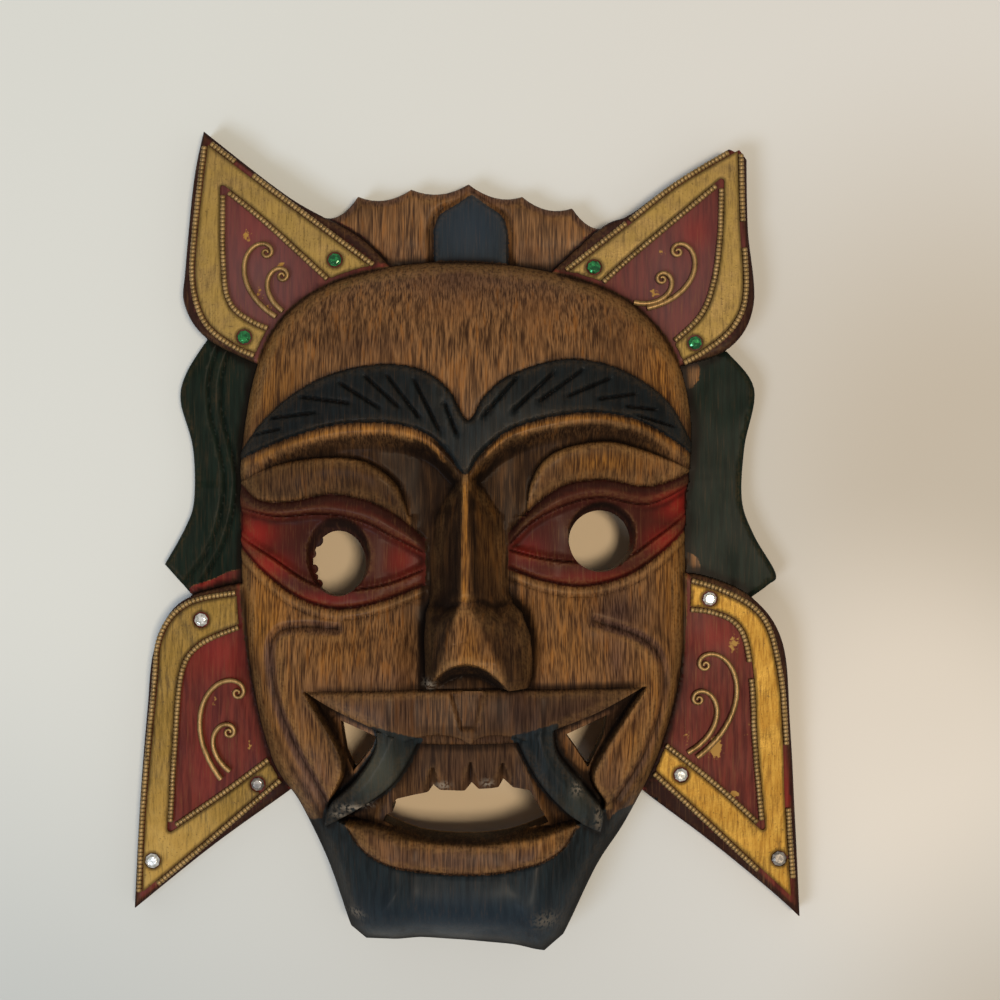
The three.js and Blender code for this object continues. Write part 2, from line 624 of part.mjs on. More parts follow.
// A wire along points (z is the wire's middle), with a polygonal section.
const wire = (points, radius, sides, steps) => {
  const section = new THREE.Shape(
    Array.from({ length: sides }, (_, i) => {
      const angle = ((i + 0.5) / sides) * Math.PI * 2;
      return new THREE.Vector2(Math.cos(angle) * radius, Math.sin(angle) * radius);
    }),
  );
  const path = new THREE.CatmullRomCurve3(points.map((p) => new THREE.Vector3(p.x, p.y, SEAT + radius)));
  return new THREE.ExtrudeGeometry(section, { steps, extrudePath: path });
};

// The stretch of a polyline between two shares of its length, as evenly spaced points.
const stretch = (line, [from, to], spacing) => {
  const path = new THREE.CurvePath();
  for (let i = 0; i < line.length - 1; i++)
    if (line[i].distanceTo(line[i + 1]) > 1e-6) path.add(new THREE.LineCurve(line[i], line[i + 1]));
  const count = Math.max(3, Math.round((path.getLength() * (to - from)) / spacing));
  return Array.from({ length: count + 1 }, (_, i) => path.getPointAt(lerp(from, to, i / count)));
};

// The beaded wires along one line of an ear's trim, cut off along the face and parted where they are broken.
const FINE = 0.4;
const beadWires = (ear, place) => {
  const wires = [];
  for (const run of ["straight", "curved"]) {
    const curve = curveThrough(ear[place][run]);
    const line = curve.getSpacedPoints(Math.round(curve.getLength() / FINE)).filter(outsideFace);
    const length = line.length * FINE;
    const parts = ear.whole?.[`${place}_${run}`] ?? [[0, 1]];
    parts.forEach(([from, to], i) => {
      const points = stretch(line, [Math.max(from, BEAD.mitre / length), to], BEAD.spacing);
      const name = `${place}_${run}${i ? `_${i + 1}` : ""}`;
      wires.push([name, wire(onEar(ear, points), BEAD.radius, BEAD.sides, points.length - 1)]);
    });
  }
  return wires;
};

// A scroll starts at its foot and winds round its eye while its radius falls away exponentially.
const scrollPath = ([eye, foot, way]) => {
  const from = Math.atan2(foot[1] - eye[1], foot[0] - eye[0]);
  const length = Math.hypot(foot[1] - eye[1], foot[0] - eye[0]);
  return Array.from({ length: SCROLL.steps + 1 }, (_, i) => {
    const swept = (i / SCROLL.steps) ** 1.25 * SCROLL.turn;
    const eyeRadius = SCROLL.eye * (1 - (SCROLL.close * swept) / SCROLL.turn);
    const radius = eyeRadius + (length - SCROLL.eye) * Math.exp(-swept / SCROLL.curl);
    const angle = from + way * THREE.MathUtils.degToRad(swept);
    return new THREE.Vector2(eye[0] + radius * Math.cos(angle), eye[1] + radius * Math.sin(angle));
  });
};

const scroll = (ear, which) =>
  wire(onEar(ear, scrollPath(ear.scrolls[which])), SCROLL.radius, SCROLL.sides, SCROLL.steps);

const stone = () =>
  new THREE.CylinderGeometry(STONE.table, STONE.radius, STONE.height, STONE.facets)
    .rotateX(Math.PI / 2)
    .translate(0, 0, SEAT + STONE.height / 2);

// ---------------------------------------------------------------- the mask

const mesh = (name, geometry, look) => {
  const made = new THREE.Mesh(geometry, new THREE.MeshStandardMaterial(look));
  made.name = name;
  return made;
};

const mask = new THREE.Group();
mask.add(mesh("carved_mask", geometryOf(carvedMask()), WOOD));
for (const [name, ear] of Object.entries(EARS)) {
  const group = earGroup(ear);
  group.add(mesh(`${name}_band`, band(ear), BRASS));
  for (const [run, geometry] of ["outer", "inner"].flatMap((place) => beadWires(ear, place))) {
    group.add(mesh(`${name}_bead_${run}`, geometry, BRASS));
  }
  for (const which of ["long", "short"]) {
    group.add(mesh(`${name}_scroll_${which}`, scroll(ear, which), BRASS));
  }
  onEar(ear, vectors(ear.stones)).forEach((at, i) => {
    const made = mesh(`${name}_stone_${i + 1}`, stone(), ear.glass);
    made.position.set(at.x, at.y, 0);
    group.add(made);
  });
  mask.add(group);
}

mask.updateMatrixWorld(true);
const size = new THREE.Box3().setFromObject(mask, true);
mask.position.set(-(size.min.x + size.max.x) / 2, -(size.min.y + size.max.y) / 2, 0);

export default mask;
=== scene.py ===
# %% [markdown]
# # A carved dance mask with brass trim
#
# A fanged guardian mask, cut from one block of wood, stained and painted, with four pointed ears. Each ear
# is trimmed with a sheet brass band between two lines of beaded wire, two wire scrolls and glass stones.
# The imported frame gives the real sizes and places. This lesson makes the surfaces that the eye sees.

# %% Load the frame
import math

import bpy
import numpy as np
from mathutils import Matrix, Vector, noise


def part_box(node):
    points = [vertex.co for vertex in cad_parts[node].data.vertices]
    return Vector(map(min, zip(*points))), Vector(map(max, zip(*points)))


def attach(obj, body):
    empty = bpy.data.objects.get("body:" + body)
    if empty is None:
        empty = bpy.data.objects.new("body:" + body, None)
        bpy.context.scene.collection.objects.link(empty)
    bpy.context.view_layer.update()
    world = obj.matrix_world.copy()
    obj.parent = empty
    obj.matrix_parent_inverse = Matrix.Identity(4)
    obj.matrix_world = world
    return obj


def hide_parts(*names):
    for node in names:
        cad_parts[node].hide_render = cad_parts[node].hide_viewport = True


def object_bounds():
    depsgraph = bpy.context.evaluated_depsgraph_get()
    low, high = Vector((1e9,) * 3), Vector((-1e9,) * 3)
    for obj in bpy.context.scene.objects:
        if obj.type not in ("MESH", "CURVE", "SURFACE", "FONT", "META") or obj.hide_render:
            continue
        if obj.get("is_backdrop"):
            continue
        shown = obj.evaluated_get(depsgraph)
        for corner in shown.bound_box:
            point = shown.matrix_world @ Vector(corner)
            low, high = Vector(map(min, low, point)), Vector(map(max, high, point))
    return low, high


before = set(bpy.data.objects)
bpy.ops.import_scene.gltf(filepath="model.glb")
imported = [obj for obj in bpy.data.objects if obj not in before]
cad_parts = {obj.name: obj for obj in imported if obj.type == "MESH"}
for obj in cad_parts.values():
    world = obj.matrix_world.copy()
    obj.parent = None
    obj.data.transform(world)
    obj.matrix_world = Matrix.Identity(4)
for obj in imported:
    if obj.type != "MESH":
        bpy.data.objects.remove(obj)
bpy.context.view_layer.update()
MM = 0.001

# %% [markdown]
# ## Drawing on the plan
#
# A carver first draws the face on the block, seen from the front. The same is done here: every outline and
# every carved line is a list of a few points in millimetres, x to the onlooker's right and y to the crest,
# and a smooth curve runs through them. Working from one drawing keeps the wood and its trim in step.

# %% Curves through points
STEPS = 8  # pieces of line in each span of a curve


def curve_through(points):
    """A smooth line through the points, as a Catmull-Rom spline whose end points count twice."""
    p = np.array([points[0], *points, points[-1]], float)
    t = np.linspace(0, 1, STEPS, endpoint=False)[:, None]
    spans = []
    for a, b, c, d in zip(p, p[1:], p[2:], p[3:]):
        bend = 2 * a - 5 * b + 4 * c - d
        twist = 3 * (b - c) + d - a
        spans.append(b + 0.5 * t * ((c - a) + t * (bend + t * twist)))
    return np.vstack([*spans, p[-1:]])


def outline(runs):
    """A closed line made of runs: two points make a straight one, more make a curve."""
    lines = [np.array(run, float) if len(run) == 2 else curve_through(run) for run in runs]
    return np.vstack([line[:-1] for line in lines])


def height_of(points):
    """A carved line that runs across the face, as a function y(x)."""
    line = curve_through(points)
    return lambda x: np.interp(x, line[:, 0], line[:, 1])


def distance(x, y, line):
    """How far each place is from a line."""
    least = np.full(x.shape, np.inf)
    for (ax, ay), (bx, by) in zip(line, line[1:]):
        dx, dy = bx - ax, by - ay
        along = ((x - ax) * dx + (y - ay) * dy) / max(dx * dx + dy * dy, 1e-12)
        along = np.clip(along, 0, 1)
        least = np.minimum(least, (x - ax - along * dx) ** 2 + (y - ay - along * dy) ** 2)
    return np.sqrt(least)


def depth_in(x, y, loop):
    """How far each place is inside a closed line, negative outside it."""
    closed = np.vstack([loop, loop[:1]])
    crossings = np.zeros(x.shape, int)
    for (ax, ay), (bx, by) in zip(closed, closed[1:]):
        if ay != by:
            crossings += ((ay > y) != (by > y)) & (x < (bx - ax) * (y - ay) / (by - ay) + ax)
    return np.where(crossings % 2 == 1, 1, -1) * distance(x, y, closed)


def ramp(value, low, high):
    """A soft step from 0 at low to 1 at high."""
    t = np.clip((value - low) / (high - low), 0, 1)
    return t * t * (3 - 2 * t)


def mix(a, b, share):
    return a + (b - a) * share


print("each span of a curve is drawn with", STEPS, "short straight pieces")

# %% [markdown]
# ## The outlines
#
# The face is a long oval with a squared jaw. The crest stands above it as a low scalloped board with a
# pointed plaque, and a green side lock fills the gap between the ears on each side.

# %% Face, crest and locks
FACE = outline([
    [(-37, -123), (-44, -103), (-53, -84.5), (-63, -69), (-70.5, -37), (-73, -4), (-72, 34), (-63, 67),
     (-40, 84.5), (0, 90), (42, 82.5), (64, 66), (72.5, 40), (71, 5), (70.2, -36), (63, -66), (51.7, -89),
     (42, -104), (31.5, -126)],
    [(31.5, -126), (25.3, -131.6)],
    [(25.3, -131.6), (-4, -128.8), (-32, -127.4)],
    [(-32, -127.4), (-37, -123)],
])
CREST_TEETH = [(-46, 104.5), (-35.2, 111.4), (-17.9, 113.7), (0.7, 115.4), (18.1, 111.3), (34.3, 107.6),
               (45, 101.2)]
CREST_SAG = 2.4  # depth of the hollow between two teeth
CREST_FOOT = 70  # the board's lower edge, hidden behind the forehead
LEFT_LOCK = outline([
    [(-60, 60), (-84, 65.5)],
    [(-84, 65.5), (-91, 54.5), (-93, 45), (-89, 30), (-88.6, 13), (-91.5, 3.8), (-98.1, -8)],
    [(-98.1, -8), (-89, -18.2)],
    [(-89, -18.2), (-62, -30)],
    [(-62, -30), (-60, 60)],
])
RIGHT_LOCK = outline([
    [(60, -30), (92.2, -19)],
    [(92.2, -19), (98.1, -14.7), (100.6, -11), (93.5, 1.5), (89.6, 13), (90.4, 30), (93.6, 49), (84.7, 61.2)],
    [(84.7, 61.2), (60, 60)],
    [(60, 60), (60, -30)],
])
JEWEL = outline([
    [(-10.5, 86), (-10.5, 100)],
    [(-10.5, 100), (-8.4, 105), (-3, 108.4), (1.7, 111.5)],
    [(1.7, 111.5), (7, 107.8), (11.8, 104.2), (13.6, 98.5)],
    [(13.6, 98.5), (13.6, 86)],
    [(13.6, 86), (-10.5, 86)],
])


def scalloped(teeth):
    """The crest's upper edge: a shallow hollow between each pair of teeth, closed along the bottom."""
    t = np.linspace(0, 1, STEPS, endpoint=False)[:, None]
    line = []
    for a, b in zip(np.array(teeth), np.array(teeth)[1:]):
        line.append(mix(a, b, t) - np.array([0, CREST_SAG]) * 4 * t * (1 - t))
    return np.vstack([*line, teeth[-1], (teeth[-1][0], CREST_FOOT), (teeth[0][0], CREST_FOOT)])


CREST = scalloped(CREST_TEETH)
print("points of face and crest:", len(FACE), len(CREST))

# %% [markdown]
# ## The ears
#
# Each ear is a flat board that slopes down a little to its tip. Its outline and the two wires of its trim
# are each drawn as a straight run and a curved run that leave the tip and end under the face. The wires
# are broken in places, and only the surviving shares of their lengths are listed. A scroll is given by the
# middle of its eye, the end of its foot and the way it turns.

# %% Ear drawings
EARS = {
    "upper_left": {
        "wood": {
            "straight": [(-85.2, 132.5), (-57, 110.6), (-34.5, 97.8), (-22, 85)],
            "curved": [(-85.2, 132.5), (-88.2, 117), (-90.8, 88), (-91, 76), (-84, 65.3), (-68, 57), (-58, 53)],
        },
        "outer": {
            "straight": [(-84.3, 129.5), (-60.1, 111), (-31.8, 89.9), (-24, 84)],
            "curved": [(-84.3, 129.5), (-87.4, 101.2), (-88.1, 83), (-84, 69.9), (-74.2, 61.9), (-63, 57.5)],
        },
        "inner": {
            "straight": [(-78.5, 113.5), (-65.6, 103.1), (-44.4, 83.7), (-36, 76)],
            "curved": [(-78.5, 113.5), (-78.2, 90.2), (-76.1, 76.7), (-68.1, 69.9), (-56, 65.6)],
        },
        "whole": {"outer_straight": [(0, 0.18), (0.285, 1)]},
        "hinge": (-52, 76),
        "stones": [(-42.2, 90.1), (-71.3, 65.2)],
        "glass": "green_glass",
        "scrolls": {"long": [(-64.3, 92.5), (-61, 71.7), -1], "short": [(-59.1, 84.9), (-58.8, 73.5), -1]},
    },
    "upper_right": {
        "wood": {
            "straight": [(91, 130.3), (66.1, 114.7), (52.8, 105), (43.4, 100.6), (24, 83)],
            "curved": [(91, 130.3), (90.9, 117), (91.2, 100), (92.9, 76), (85, 62), (68, 56), (58, 52)],
        },
        "blunt": [(78, 140), (82.5, 126.6), (84.9, 126.6), (86.9, 125.4), (88.3, 126.2), (90.4, 123.4),
                  (99, 120), (99, 140)],
        "outer": {
            "straight": [(88.7, 127.5), (67.9, 114.9), (51.2, 101.7), (33.6, 87.9), (26, 82)],
            "curved": [(88.7, 127.5), (89.2, 103.2), (90.1, 80.1), (86.1, 68.8), (76.3, 60.4), (62, 53)],
        },
        "inner": {
            "straight": [(82.4, 115.7), (70.9, 106.1), (51.2, 89.4), (36, 75)],
            "curved": [(82.4, 115.7), (81.7, 97.3), (79.5, 82.5), (75.3, 72.2), (66.5, 63.6), (60, 58)],
        },
        "whole": {"outer_straight": [(0.065, 0.625), (0.645, 1)], "outer_curved": [(0.035, 0.31), (0.417, 1)]},
        "hinge": (52, 76),
        "stones": [(41.1, 87.7), (73.6, 63.4)],
        "glass": "green_glass",
        "scrolls": {"long": [(68.1, 92.8), (58.1, 74.4), 1], "short": [(63, 83.9), (53.9, 76.3), 1]},
    },
    "lower_left": {
        "wood": {
            "straight": [(-107.8, -119.8), (-82, -98.9), (-56.5, -80.4), (-46, -72)],
            "curved": [(-107.8, -119.8), (-105.6, -84), (-103, -55), (-100.6, -35), (-93, -20.8), (-78, -15),
                       (-62, -13)],
        },
        "outer": {
            "straight": [(-105.9, -116.2), (-88.9, -102.1), (-60.9, -78.2), (-54, -72.3)],
            "curved": [(-105.9, -116.2), (-104.4, -87.4), (-100.4, -47.6), (-98.2, -30.7), (-89.7, -20.4),
                       (-73.5, -16.7), (-63, -16)],
        },
        "inner": {
            "straight": [(-95.6, -93.3), (-77.9, -81.2), (-62.4, -69.7), (-54, -64)],
            "curved": [(-95.6, -93.3), (-93.7, -65.3), (-91.5, -43.2), (-86, -34), (-73.5, -28.1), (-63, -24.5)],
        },
        "whole": {"outer_straight": [(0.13, 1)]},
        "hinge": (-69, -50),
        "stones": [(-85, -25.5), (-67.1, -78.6), (-101.4, -103.7)],
        "glass": "clear_glass",
        "scrolls": {"long": [(-73.4, -49), (-78.9, -77), -1], "short": [(-76.2, -61.7), (-76, -74.4), -1]},
    },
    "lower_right": {
        "wood": {
            "straight": [(108.3, -122.6), (98.6, -113.7), (78.8, -97.4), (58.3, -81.9), (47, -72)],
            "curved": [(108.3, -122.6), (106.9, -97), (104.7, -60), (102, -33), (92, -18.5), (76, -11.5),
                       (60, -10.5)],
        },
        "outer": {
            "straight": [(106.3, -117.8), (94.4, -106.7), (77, -90.4), (61.5, -76), (54, -69)],
            "curved": [(106.3, -117.8), (103.9, -86.6), (102.9, -62.4), (100.9, -41.9), (95.2, -24.5),
                       (80.8, -15.4), (62, -10.6)],
        },
        "inner": {
            "straight": [(95.6, -92.7), (80.8, -79), (64.2, -65.8), (56, -59.5)],
            "curved": [(95.6, -92.7), (92.9, -65.4), (91.8, -45.7), (88.4, -29.1), (78.5, -23), (62, -22)],
        },
        "whole": {
            "outer_straight": [(0.26, 1)],
            "outer_curved": [(0.07, 0.26), (0.43, 1)],
            "inner_curved": [(0, 0.585), (0.65, 1)],
        },
        "hinge": (68, -50),
        "stones": [(78.1, -18.7), (69.2, -75.6), (101.1, -103)],
        "glass": "clear_glass",
        "scrolls": {"long": [(76.8, -40), (74.3, -69.9), 1], "short": [(74.7, -51.1), (71.3, -68.4), 1]},
    },
}
print("ears:", *EARS)

# %% The slope of the ears
EAR_TOP = 15  # height of the ear's wood at its hinge
EAR_TILT = math.radians(3)


def out_and_side(ear):
    """Unit directions in plan: from the hinge to the tip, and across."""
    out = np.array(ear["wood"]["straight"][0], float) - ear["hinge"]
    out /= np.linalg.norm(out)
    return out, np.array([-out[1], out[0]])


def on_ear(ear, points, lift=0.0):
    """Places drawn flat, laid on the sloping ear, lift millimetres above its wood."""
    out, side = out_and_side(ear)
    local = np.atleast_2d(points)[:, :2] - ear["hinge"]
    along, across = local @ out, local @ side
    moved = along * math.cos(EAR_TILT) + lift * math.sin(EAR_TILT)
    plan = np.array(ear["hinge"]) + moved[:, None] * out + across[:, None] * side
    z = EAR_TOP - along * math.sin(EAR_TILT) + lift * math.cos(EAR_TILT)
    return np.column_stack([plan, z])


def ear_surface(ear, x, y):
    out, _ = out_and_side(ear)
    along = (x - ear["hinge"][0]) * out[0] + (y - ear["hinge"][1]) * out[1]
    return EAR_TOP - along * math.tan(EAR_TILT)


def ear_outline(ear):
    straight, curved = curve_through(ear["wood"]["straight"]), curve_through(ear["wood"]["curved"])
    return on_ear(ear, np.vstack([straight, curved[:0:-1]]))[:, :2]


for ear in EARS.values():
    ear["outline"] = ear_outline(ear)

first = EARS["upper_left"]
STONE_HALF = 0.95  # the middle of a stone above the ear's wood
drawn = on_ear(first, first["stones"][0], STONE_HALF)[0]
low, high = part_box("upper_left_stone_1")
SHIFT = np.array((low + high) / 2)[:2] / MM - drawn[:2]
print("the drawing sits in the frame with a shift of", SHIFT.round(3), "mm")

# %% [markdown]
# ## The carving as a height
#
# The whole front is seen from above and nothing on it is undercut, so one function can say how high the
# wood stands at each place of the plan. It is built as a carver works: first the rounded block of the face,
# then the big hollows and swells, then brows, lids, nose and lips, and last the cuts of the knife.

# %% The rounded face
RIM = 11  # where the face rises out of the ears and locks
SHOULDER = 21  # height of the round shoulder above the rim
DOME = 8  # the gentle crown above that
CHIN_REACH, CHEEK_REACH = 17, 30  # how far in from the outline the shoulder rounds
HALF_WIDTH = 73
NOSE_X = 0.3


def rounded(share):
    return np.sqrt(1 - (1 - np.clip(share, 0, 1)) ** 2)


def face_block(x, y, inside):
    reach = mix(CHIN_REACH, CHEEK_REACH, ramp(y, -122, -60))
    crown = DOME * (1 - (x / HALF_WIDTH) ** 2) * ramp(inside, 0, reach * 1.6)
    return RIM + SHOULDER * rounded(inside / reach) + np.maximum(0, crown)


print("the rounded block rises to", RIM + SHOULDER + DOME, "mm")

# %% Lines of the brows and eyes
BROW_TOP = [(-72, 29), (-62, 40), (-50, 48.5), (-37, 53.4), (-24, 55), (-13, 53), (-5, 47), (1, 37.5),
            (6, 45), (14, 51.5), (30, 56.6), (45, 55), (57, 49.5), (65, 43), (72, 32)]
BROW_BOTTOM = [(-72, 26), (-56, 32), (-42, 35.8), (-30, 36.8), (-20, 36), (-11, 32.8), (-5, 27), (0.2, 20.6),
               (5, 27), (14, 34.4), (28, 38.7), (40, 40), (52, 38.4), (61, 34.5), (72, 28)]
EYES = [
    {
        "arch": [(-73, 18.5), (-58, 24.5), (-42, 26.4), (-30, 24.5), (-21, 17.5), (-17.8, 8)],
        "top": [(-74, 19.3), (-66, 13), (-56, 12.3), (-42, 14.6), (-30, 12.4), (-20, 7), (-12, 0)],
        "lash": [(-74, 10.8), (-60, 7.8), (-45, 8.6), (-32, 6.3), (-22, 1.2), (-12, -4)],
        "ledge": [(-74, 2), (-62, -4.8), (-50, -12.4), (-39, -15.1), (-25, -13.4), (-12, -8.4)],
        "bottom": [(-74, -0.5), (-62, -11.4), (-52, -18), (-40, -21), (-27, -18.8), (-12, -13.2)],
        "front": [(-39.9, -4.4), (10.3, 12.1)],
        "through": [(-39.9, -7), (8.5, 10.2)],
        "inner_end": -12.5,
    },
    {
        "arch": [(19, 8), (21, 20), (28, 28), (43, 31.5), (56, 28.9), (72, 22.6)],
        "top": [(13, 2), (22, 11.5), (32, 17.8), (44, 19.2), (58, 17.2), (72, 21.5)],
        "lash": [(13, -2), (21, 6), (32, 11.6), (43, 13.7), (58, 11.7), (73, 18.5)],
        "ledge": [(13, -2.4), (24, -5.2), (36, -6.4), (50, -5.4), (60, 0.8), (73, 10)],
        "bottom": [(13, -8), (24, -12), (37, -13.9), (50, -11), (60, -5.2), (73, 6)],
        "front": [(43, 1.7), (10.9, 10.7)],
        "through": [(42.4, 0), (9.8, 9.6)],
        "inner_end": 13.5,
    },
]
for eye in EYES:
    for line in ("arch", "top", "lash", "ledge", "bottom"):
        eye[line] = height_of(eye[line])
brow_top, brow_bottom = height_of(BROW_TOP), height_of(BROW_BOTTOM)
print("the brows meet", round(float(brow_top(NOSE_X) - brow_bottom(NOSE_X)), 1), "mm tall over the nose")


def ellipse_depth(x, y, ellipse):
    """Depth inside an ellipse, near enough for one that is almost round."""
    (cx, cy), (rx, ry) = ellipse
    return (1 - np.hypot((x - cx) / rx, (y - cy) / ry)) * min(rx, ry)


# %% Cuts and ridges
def groove(off, width, depth):
    """A knife cut: a V with a soft foot, off millimetres away from its line."""
    return -depth * np.clip(1 - np.abs(off) / (width / 2), 0, 1) ** 1.3


def ridge(off, width, height):
    return height * np.exp(-((off / (width / 2)) ** 2))


def from_line(x, y, line):
    """Signed distance above a line y(x), corrected for its slope."""
    slope = (line(x + 0.5) - line(x - 0.5))
    return (y - line(x)) / np.sqrt(1 + slope**2)


# %% Hollows round the eyes
ORBIT_SINK, OUTER_ORBIT_SINK = 8.2, 5.2  # beside the nose, and out under the brow
LID_SWELL, CHEEK_SWELL, ROLL_SWELL = 3.4, 4, 1.5  # the roll runs along under the brow


def eye_ground(x, y):
    """The orbit sinks under the brow, and the lid swells out of it again."""
    away = np.abs(x - NOSE_X)
    temple = ramp(away, 50, 70)
    drop = brow_bottom(x) - y
    orbit = mix(ORBIT_SINK, OUTER_ORBIT_SINK, ramp(away, 14, 30)) * ramp(drop, 1.5, 8.5) * ramp(y, -48, -24)
    relief = -orbit
    for eye, side in zip(EYES, (x < NOSE_X, x >= NOSE_X)):
        arch, top = eye["arch"](x), eye["top"](x)
        on_lid = np.clip((arch - y) / np.maximum(1, arch - top), 0, 1)
        inward = ramp(away, 14, 24)
        lid = LID_SWELL * np.sin(np.pi * np.sqrt(on_lid)) ** 0.8 * inward
        cheek = CHEEK_SWELL * ramp(eye["bottom"](x) - y, -1, 16) * inward
        crease = groove(from_line(x, y, eye["arch"]), 2.4, 0.9) * inward * ramp(y, 4, 12)
        relief = relief + np.where(side, lid + cheek + crease, 0)
    roll = ridge(drop - 3.2, 4.4, ROLL_SWELL) * ramp(away, 2, 9)
    return (relief + roll) * mix(1, 0.4, temple)


# %% Eyes and lids
BALL_SWELL, EYE_SINK = 1.9, 2.4
UPPER_LID, LOWER_LID = 1.5, 1.0


def eye_detail(x, y):
    """The rims of the lids, the sunk red field and the ball in it, and the cuts that part them."""
    relief = np.zeros(x.shape)
    for eye, side in zip(EYES, (-1, 1)):
        top, lash = from_line(x, y, eye["top"]), from_line(x, y, eye["lash"])
        ledge, bottom = from_line(x, y, eye["ledge"]), from_line(x, y, eye["bottom"])
        here = ramp(side * (x - eye["inner_end"]), -1, 1.5)
        thick = np.maximum(0.5, eye["top"](x) - eye["lash"](x))
        share = np.clip((eye["top"](x) - y) / thick, 0, 1)
        upper = np.where((top < 0) & (lash > 0), UPPER_LID * np.sin(np.pi * share**1.6) + 0.2, 0)
        opening = (lash < 0) & (ledge > 0)
        (cx, cy), (rx, ry) = eye["front"]
        ball = BALL_SWELL * np.exp(-(((x - cx) / (rx * 1.9)) ** 2) - ((y - cy) / (ry * 1.2)) ** 2)
        sunk = ramp(np.minimum(-lash, ledge), 0, 2.2)
        field = np.where(opening, (ball - EYE_SINK) * sunk, 0)
        lower = np.where((ledge < 0) & (bottom > 0), LOWER_LID * ramp(-ledge, 0, 0.8) * ramp(bottom, 0, 1.4), 0)
        rim = ridge(bottom + 2.0, 1.9, 0.8)
        cuts = groove(top, 1.5, 1.0) + groove(lash, 1.3, 1.0) + groove(ledge, 1.5, 1.1)
        cuts = cuts + groove(bottom, 1.8, 1.3) + groove(bottom + 3.6, 1.4, 0.6)
        relief = relief + here * (upper + field + lower + rim + cuts)
    return relief


# %% Brows
BROW_RISE = 2
BROW_CUT = (1.7, 1.5)  # width and depth of the cuts for the hairs
BROW_CUTS = [
    [(-39.7, 49.7), (-25.5, 40.6)], [(-31.6, 51.9), (-19.4, 40.6)], [(-24.7, 52.3), (-13, 36.9)],
    [(-16.2, 51.1), (-7.1, 32.8)], [(-6.4, 43.5), (-2.2, 32.3)], [(-52.4, 45.2), (-34.8, 42.6)],
    [(-61.7, 38.4), (-45.6, 40.1)], [(-68, 33.3), (-57.3, 35.2)], [(5, 37.7), (17.2, 51.9)],
    [(14.3, 39.6), (28.5, 53.3)], [(22.1, 42.6), (37.3, 53.8)], [(30.9, 44.5), (46.1, 51.1)],
    [(40.7, 44), (54.4, 46.2)], [(49.5, 42.1), (60.8, 41.1)], [(52.5, 39.6), (67.1, 35.7)],
]


def brow_detail(x, y):
    above, below = from_line(x, y, brow_top), from_line(x, y, brow_bottom)
    inside = np.minimum(-above, below)
    relief = BROW_RISE * ramp(inside, -0.2, 1.1) + groove(inside, 1.2, 0.5)  # and a fine cut along the edge
    for (ax, ay), (bx, by) in BROW_CUTS:
        line = np.array([(ax, ay), (bx, by)], float)
        off = distance(x, y, line)
        long = np.hypot(bx - ax, by - ay)
        along = ((x - ax) * (bx - ax) + (y - ay) * (by - ay)) / long**2
        taper = ramp(along, -0.06, 0.14) * ramp(along, 1.06, 0.84)
        relief = relief + groove(off, *BROW_CUT) * taper
    return relief


print(len(BROW_CUTS), "cuts in the brows")

# %% Nose
NOSE_STATIONS = np.array([
    # up the face, ridge height, left and right half widths, width of the ridge, height of the sides
    (30, 38, 1.5, 1.5, 1.0, 34), (21, 42, 2.5, 2.5, 1.2, 34), (8, 46.5, 10, 11.5, 1.8, 33.5),
    (-5, 49.6, 11.6, 13.4, 2.2, 33.5), (-16, 51.6, 11.9, 14.2, 2.0, 34), (-19.4, 50.4, 12, 15.4, 1.4, 35),
    (-22, 51.8, 12.8, 18, 3.4, 38), (-29, 54.5, 13.1, 20.6, 7, 40.5), (-36, 57, 13, 21.2, 11.5, 41),
    (-41, 56, 12.8, 21, 13.5, 41), (-45.6, 53, 12.4, 20, 14, 40),
])[::-1]
NOSTRIL_RISE = 1.5  # the flat under the nose above the ground of the face
NOSE_LEAN = 2.6  # the tip leans this far to the right
CREASE, CRACK = (2.6, 1.3), (0.8, 0.35)  # width and depth
NOSE_CREASES = [[(-7.5, -22.6), (-5, -20), (-0.6, -18)], [(1.2, -18.4), (5.2, -18), (8.5, -19.6), (11, -22)]]
NOSE_CRACKS = [[(-4.6, -31.2), (0.2, -29.8), (3.2, -28.4)], [(0.6, -24), (0.9, -31), (0.6, -36)]]
NOSE_CREASES = [curve_through(line) for line in NOSE_CREASES]
NOSE_CRACKS = [curve_through(line) for line in NOSE_CRACKS]


def nose_height(x, y, ground):
    """The nose between its stations, with a narrow flat on its ridge and the flat that is cut away under it."""
    up = NOSE_STATIONS[:, 0]
    top, left, right, width, side = (np.interp(y, up, NOSE_STATIONS[:, k]) for k in range(1, 6))
    middle = NOSE_X + NOSE_LEAN * ramp(-y, 24, 40)
    away = x - middle
    half = np.where(away < 0, left + middle - NOSE_X, right - middle + NOSE_X)
    out = (np.abs(away) - width / 2) / np.maximum(half - width / 2, 0.5)
    bulge = mix(0.95, 1.9, ramp(-y, 19, 26))
    side = mix(np.minimum(side, ground - 0.8), side, ramp(-y, 15, 21))
    flank = top - (top - side) * np.clip(out, 0, 1) ** bulge
    shape = np.where(out < 0, top - 0.5 * (away / np.maximum(width, 1)) ** 2, flank)
    edge = ramp(1 - out, -0.06, 0.06)
    for line in NOSE_CREASES:
        shape = shape + groove(distance(x, y, line), *CREASE)
    for line in NOSE_CRACKS:
        shape = shape + groove(distance(x, y, line), *CRACK)
    tip_edge = -36.2 - 7.2 * (np.abs(x - 0.8) / 11.6) ** 2
    inner_edge = -41.2 - 3.6 * (np.abs(x - 0.8) / 9.5) ** 2
    under = np.clip((tip_edge - y) / np.maximum(tip_edge - inner_edge, 0.4), 0, 1)
    shape = mix(shape, ground + NOSTRIL_RISE, under**0.75)
    ends = ramp(y, -47.2, -45.6) * ramp(y, 29, 26)
    return np.where(out < 1.06, shape, 0) * edge * ends


print("the nose stands", NOSE_STATIONS[:, 1].max(), "mm above the table")

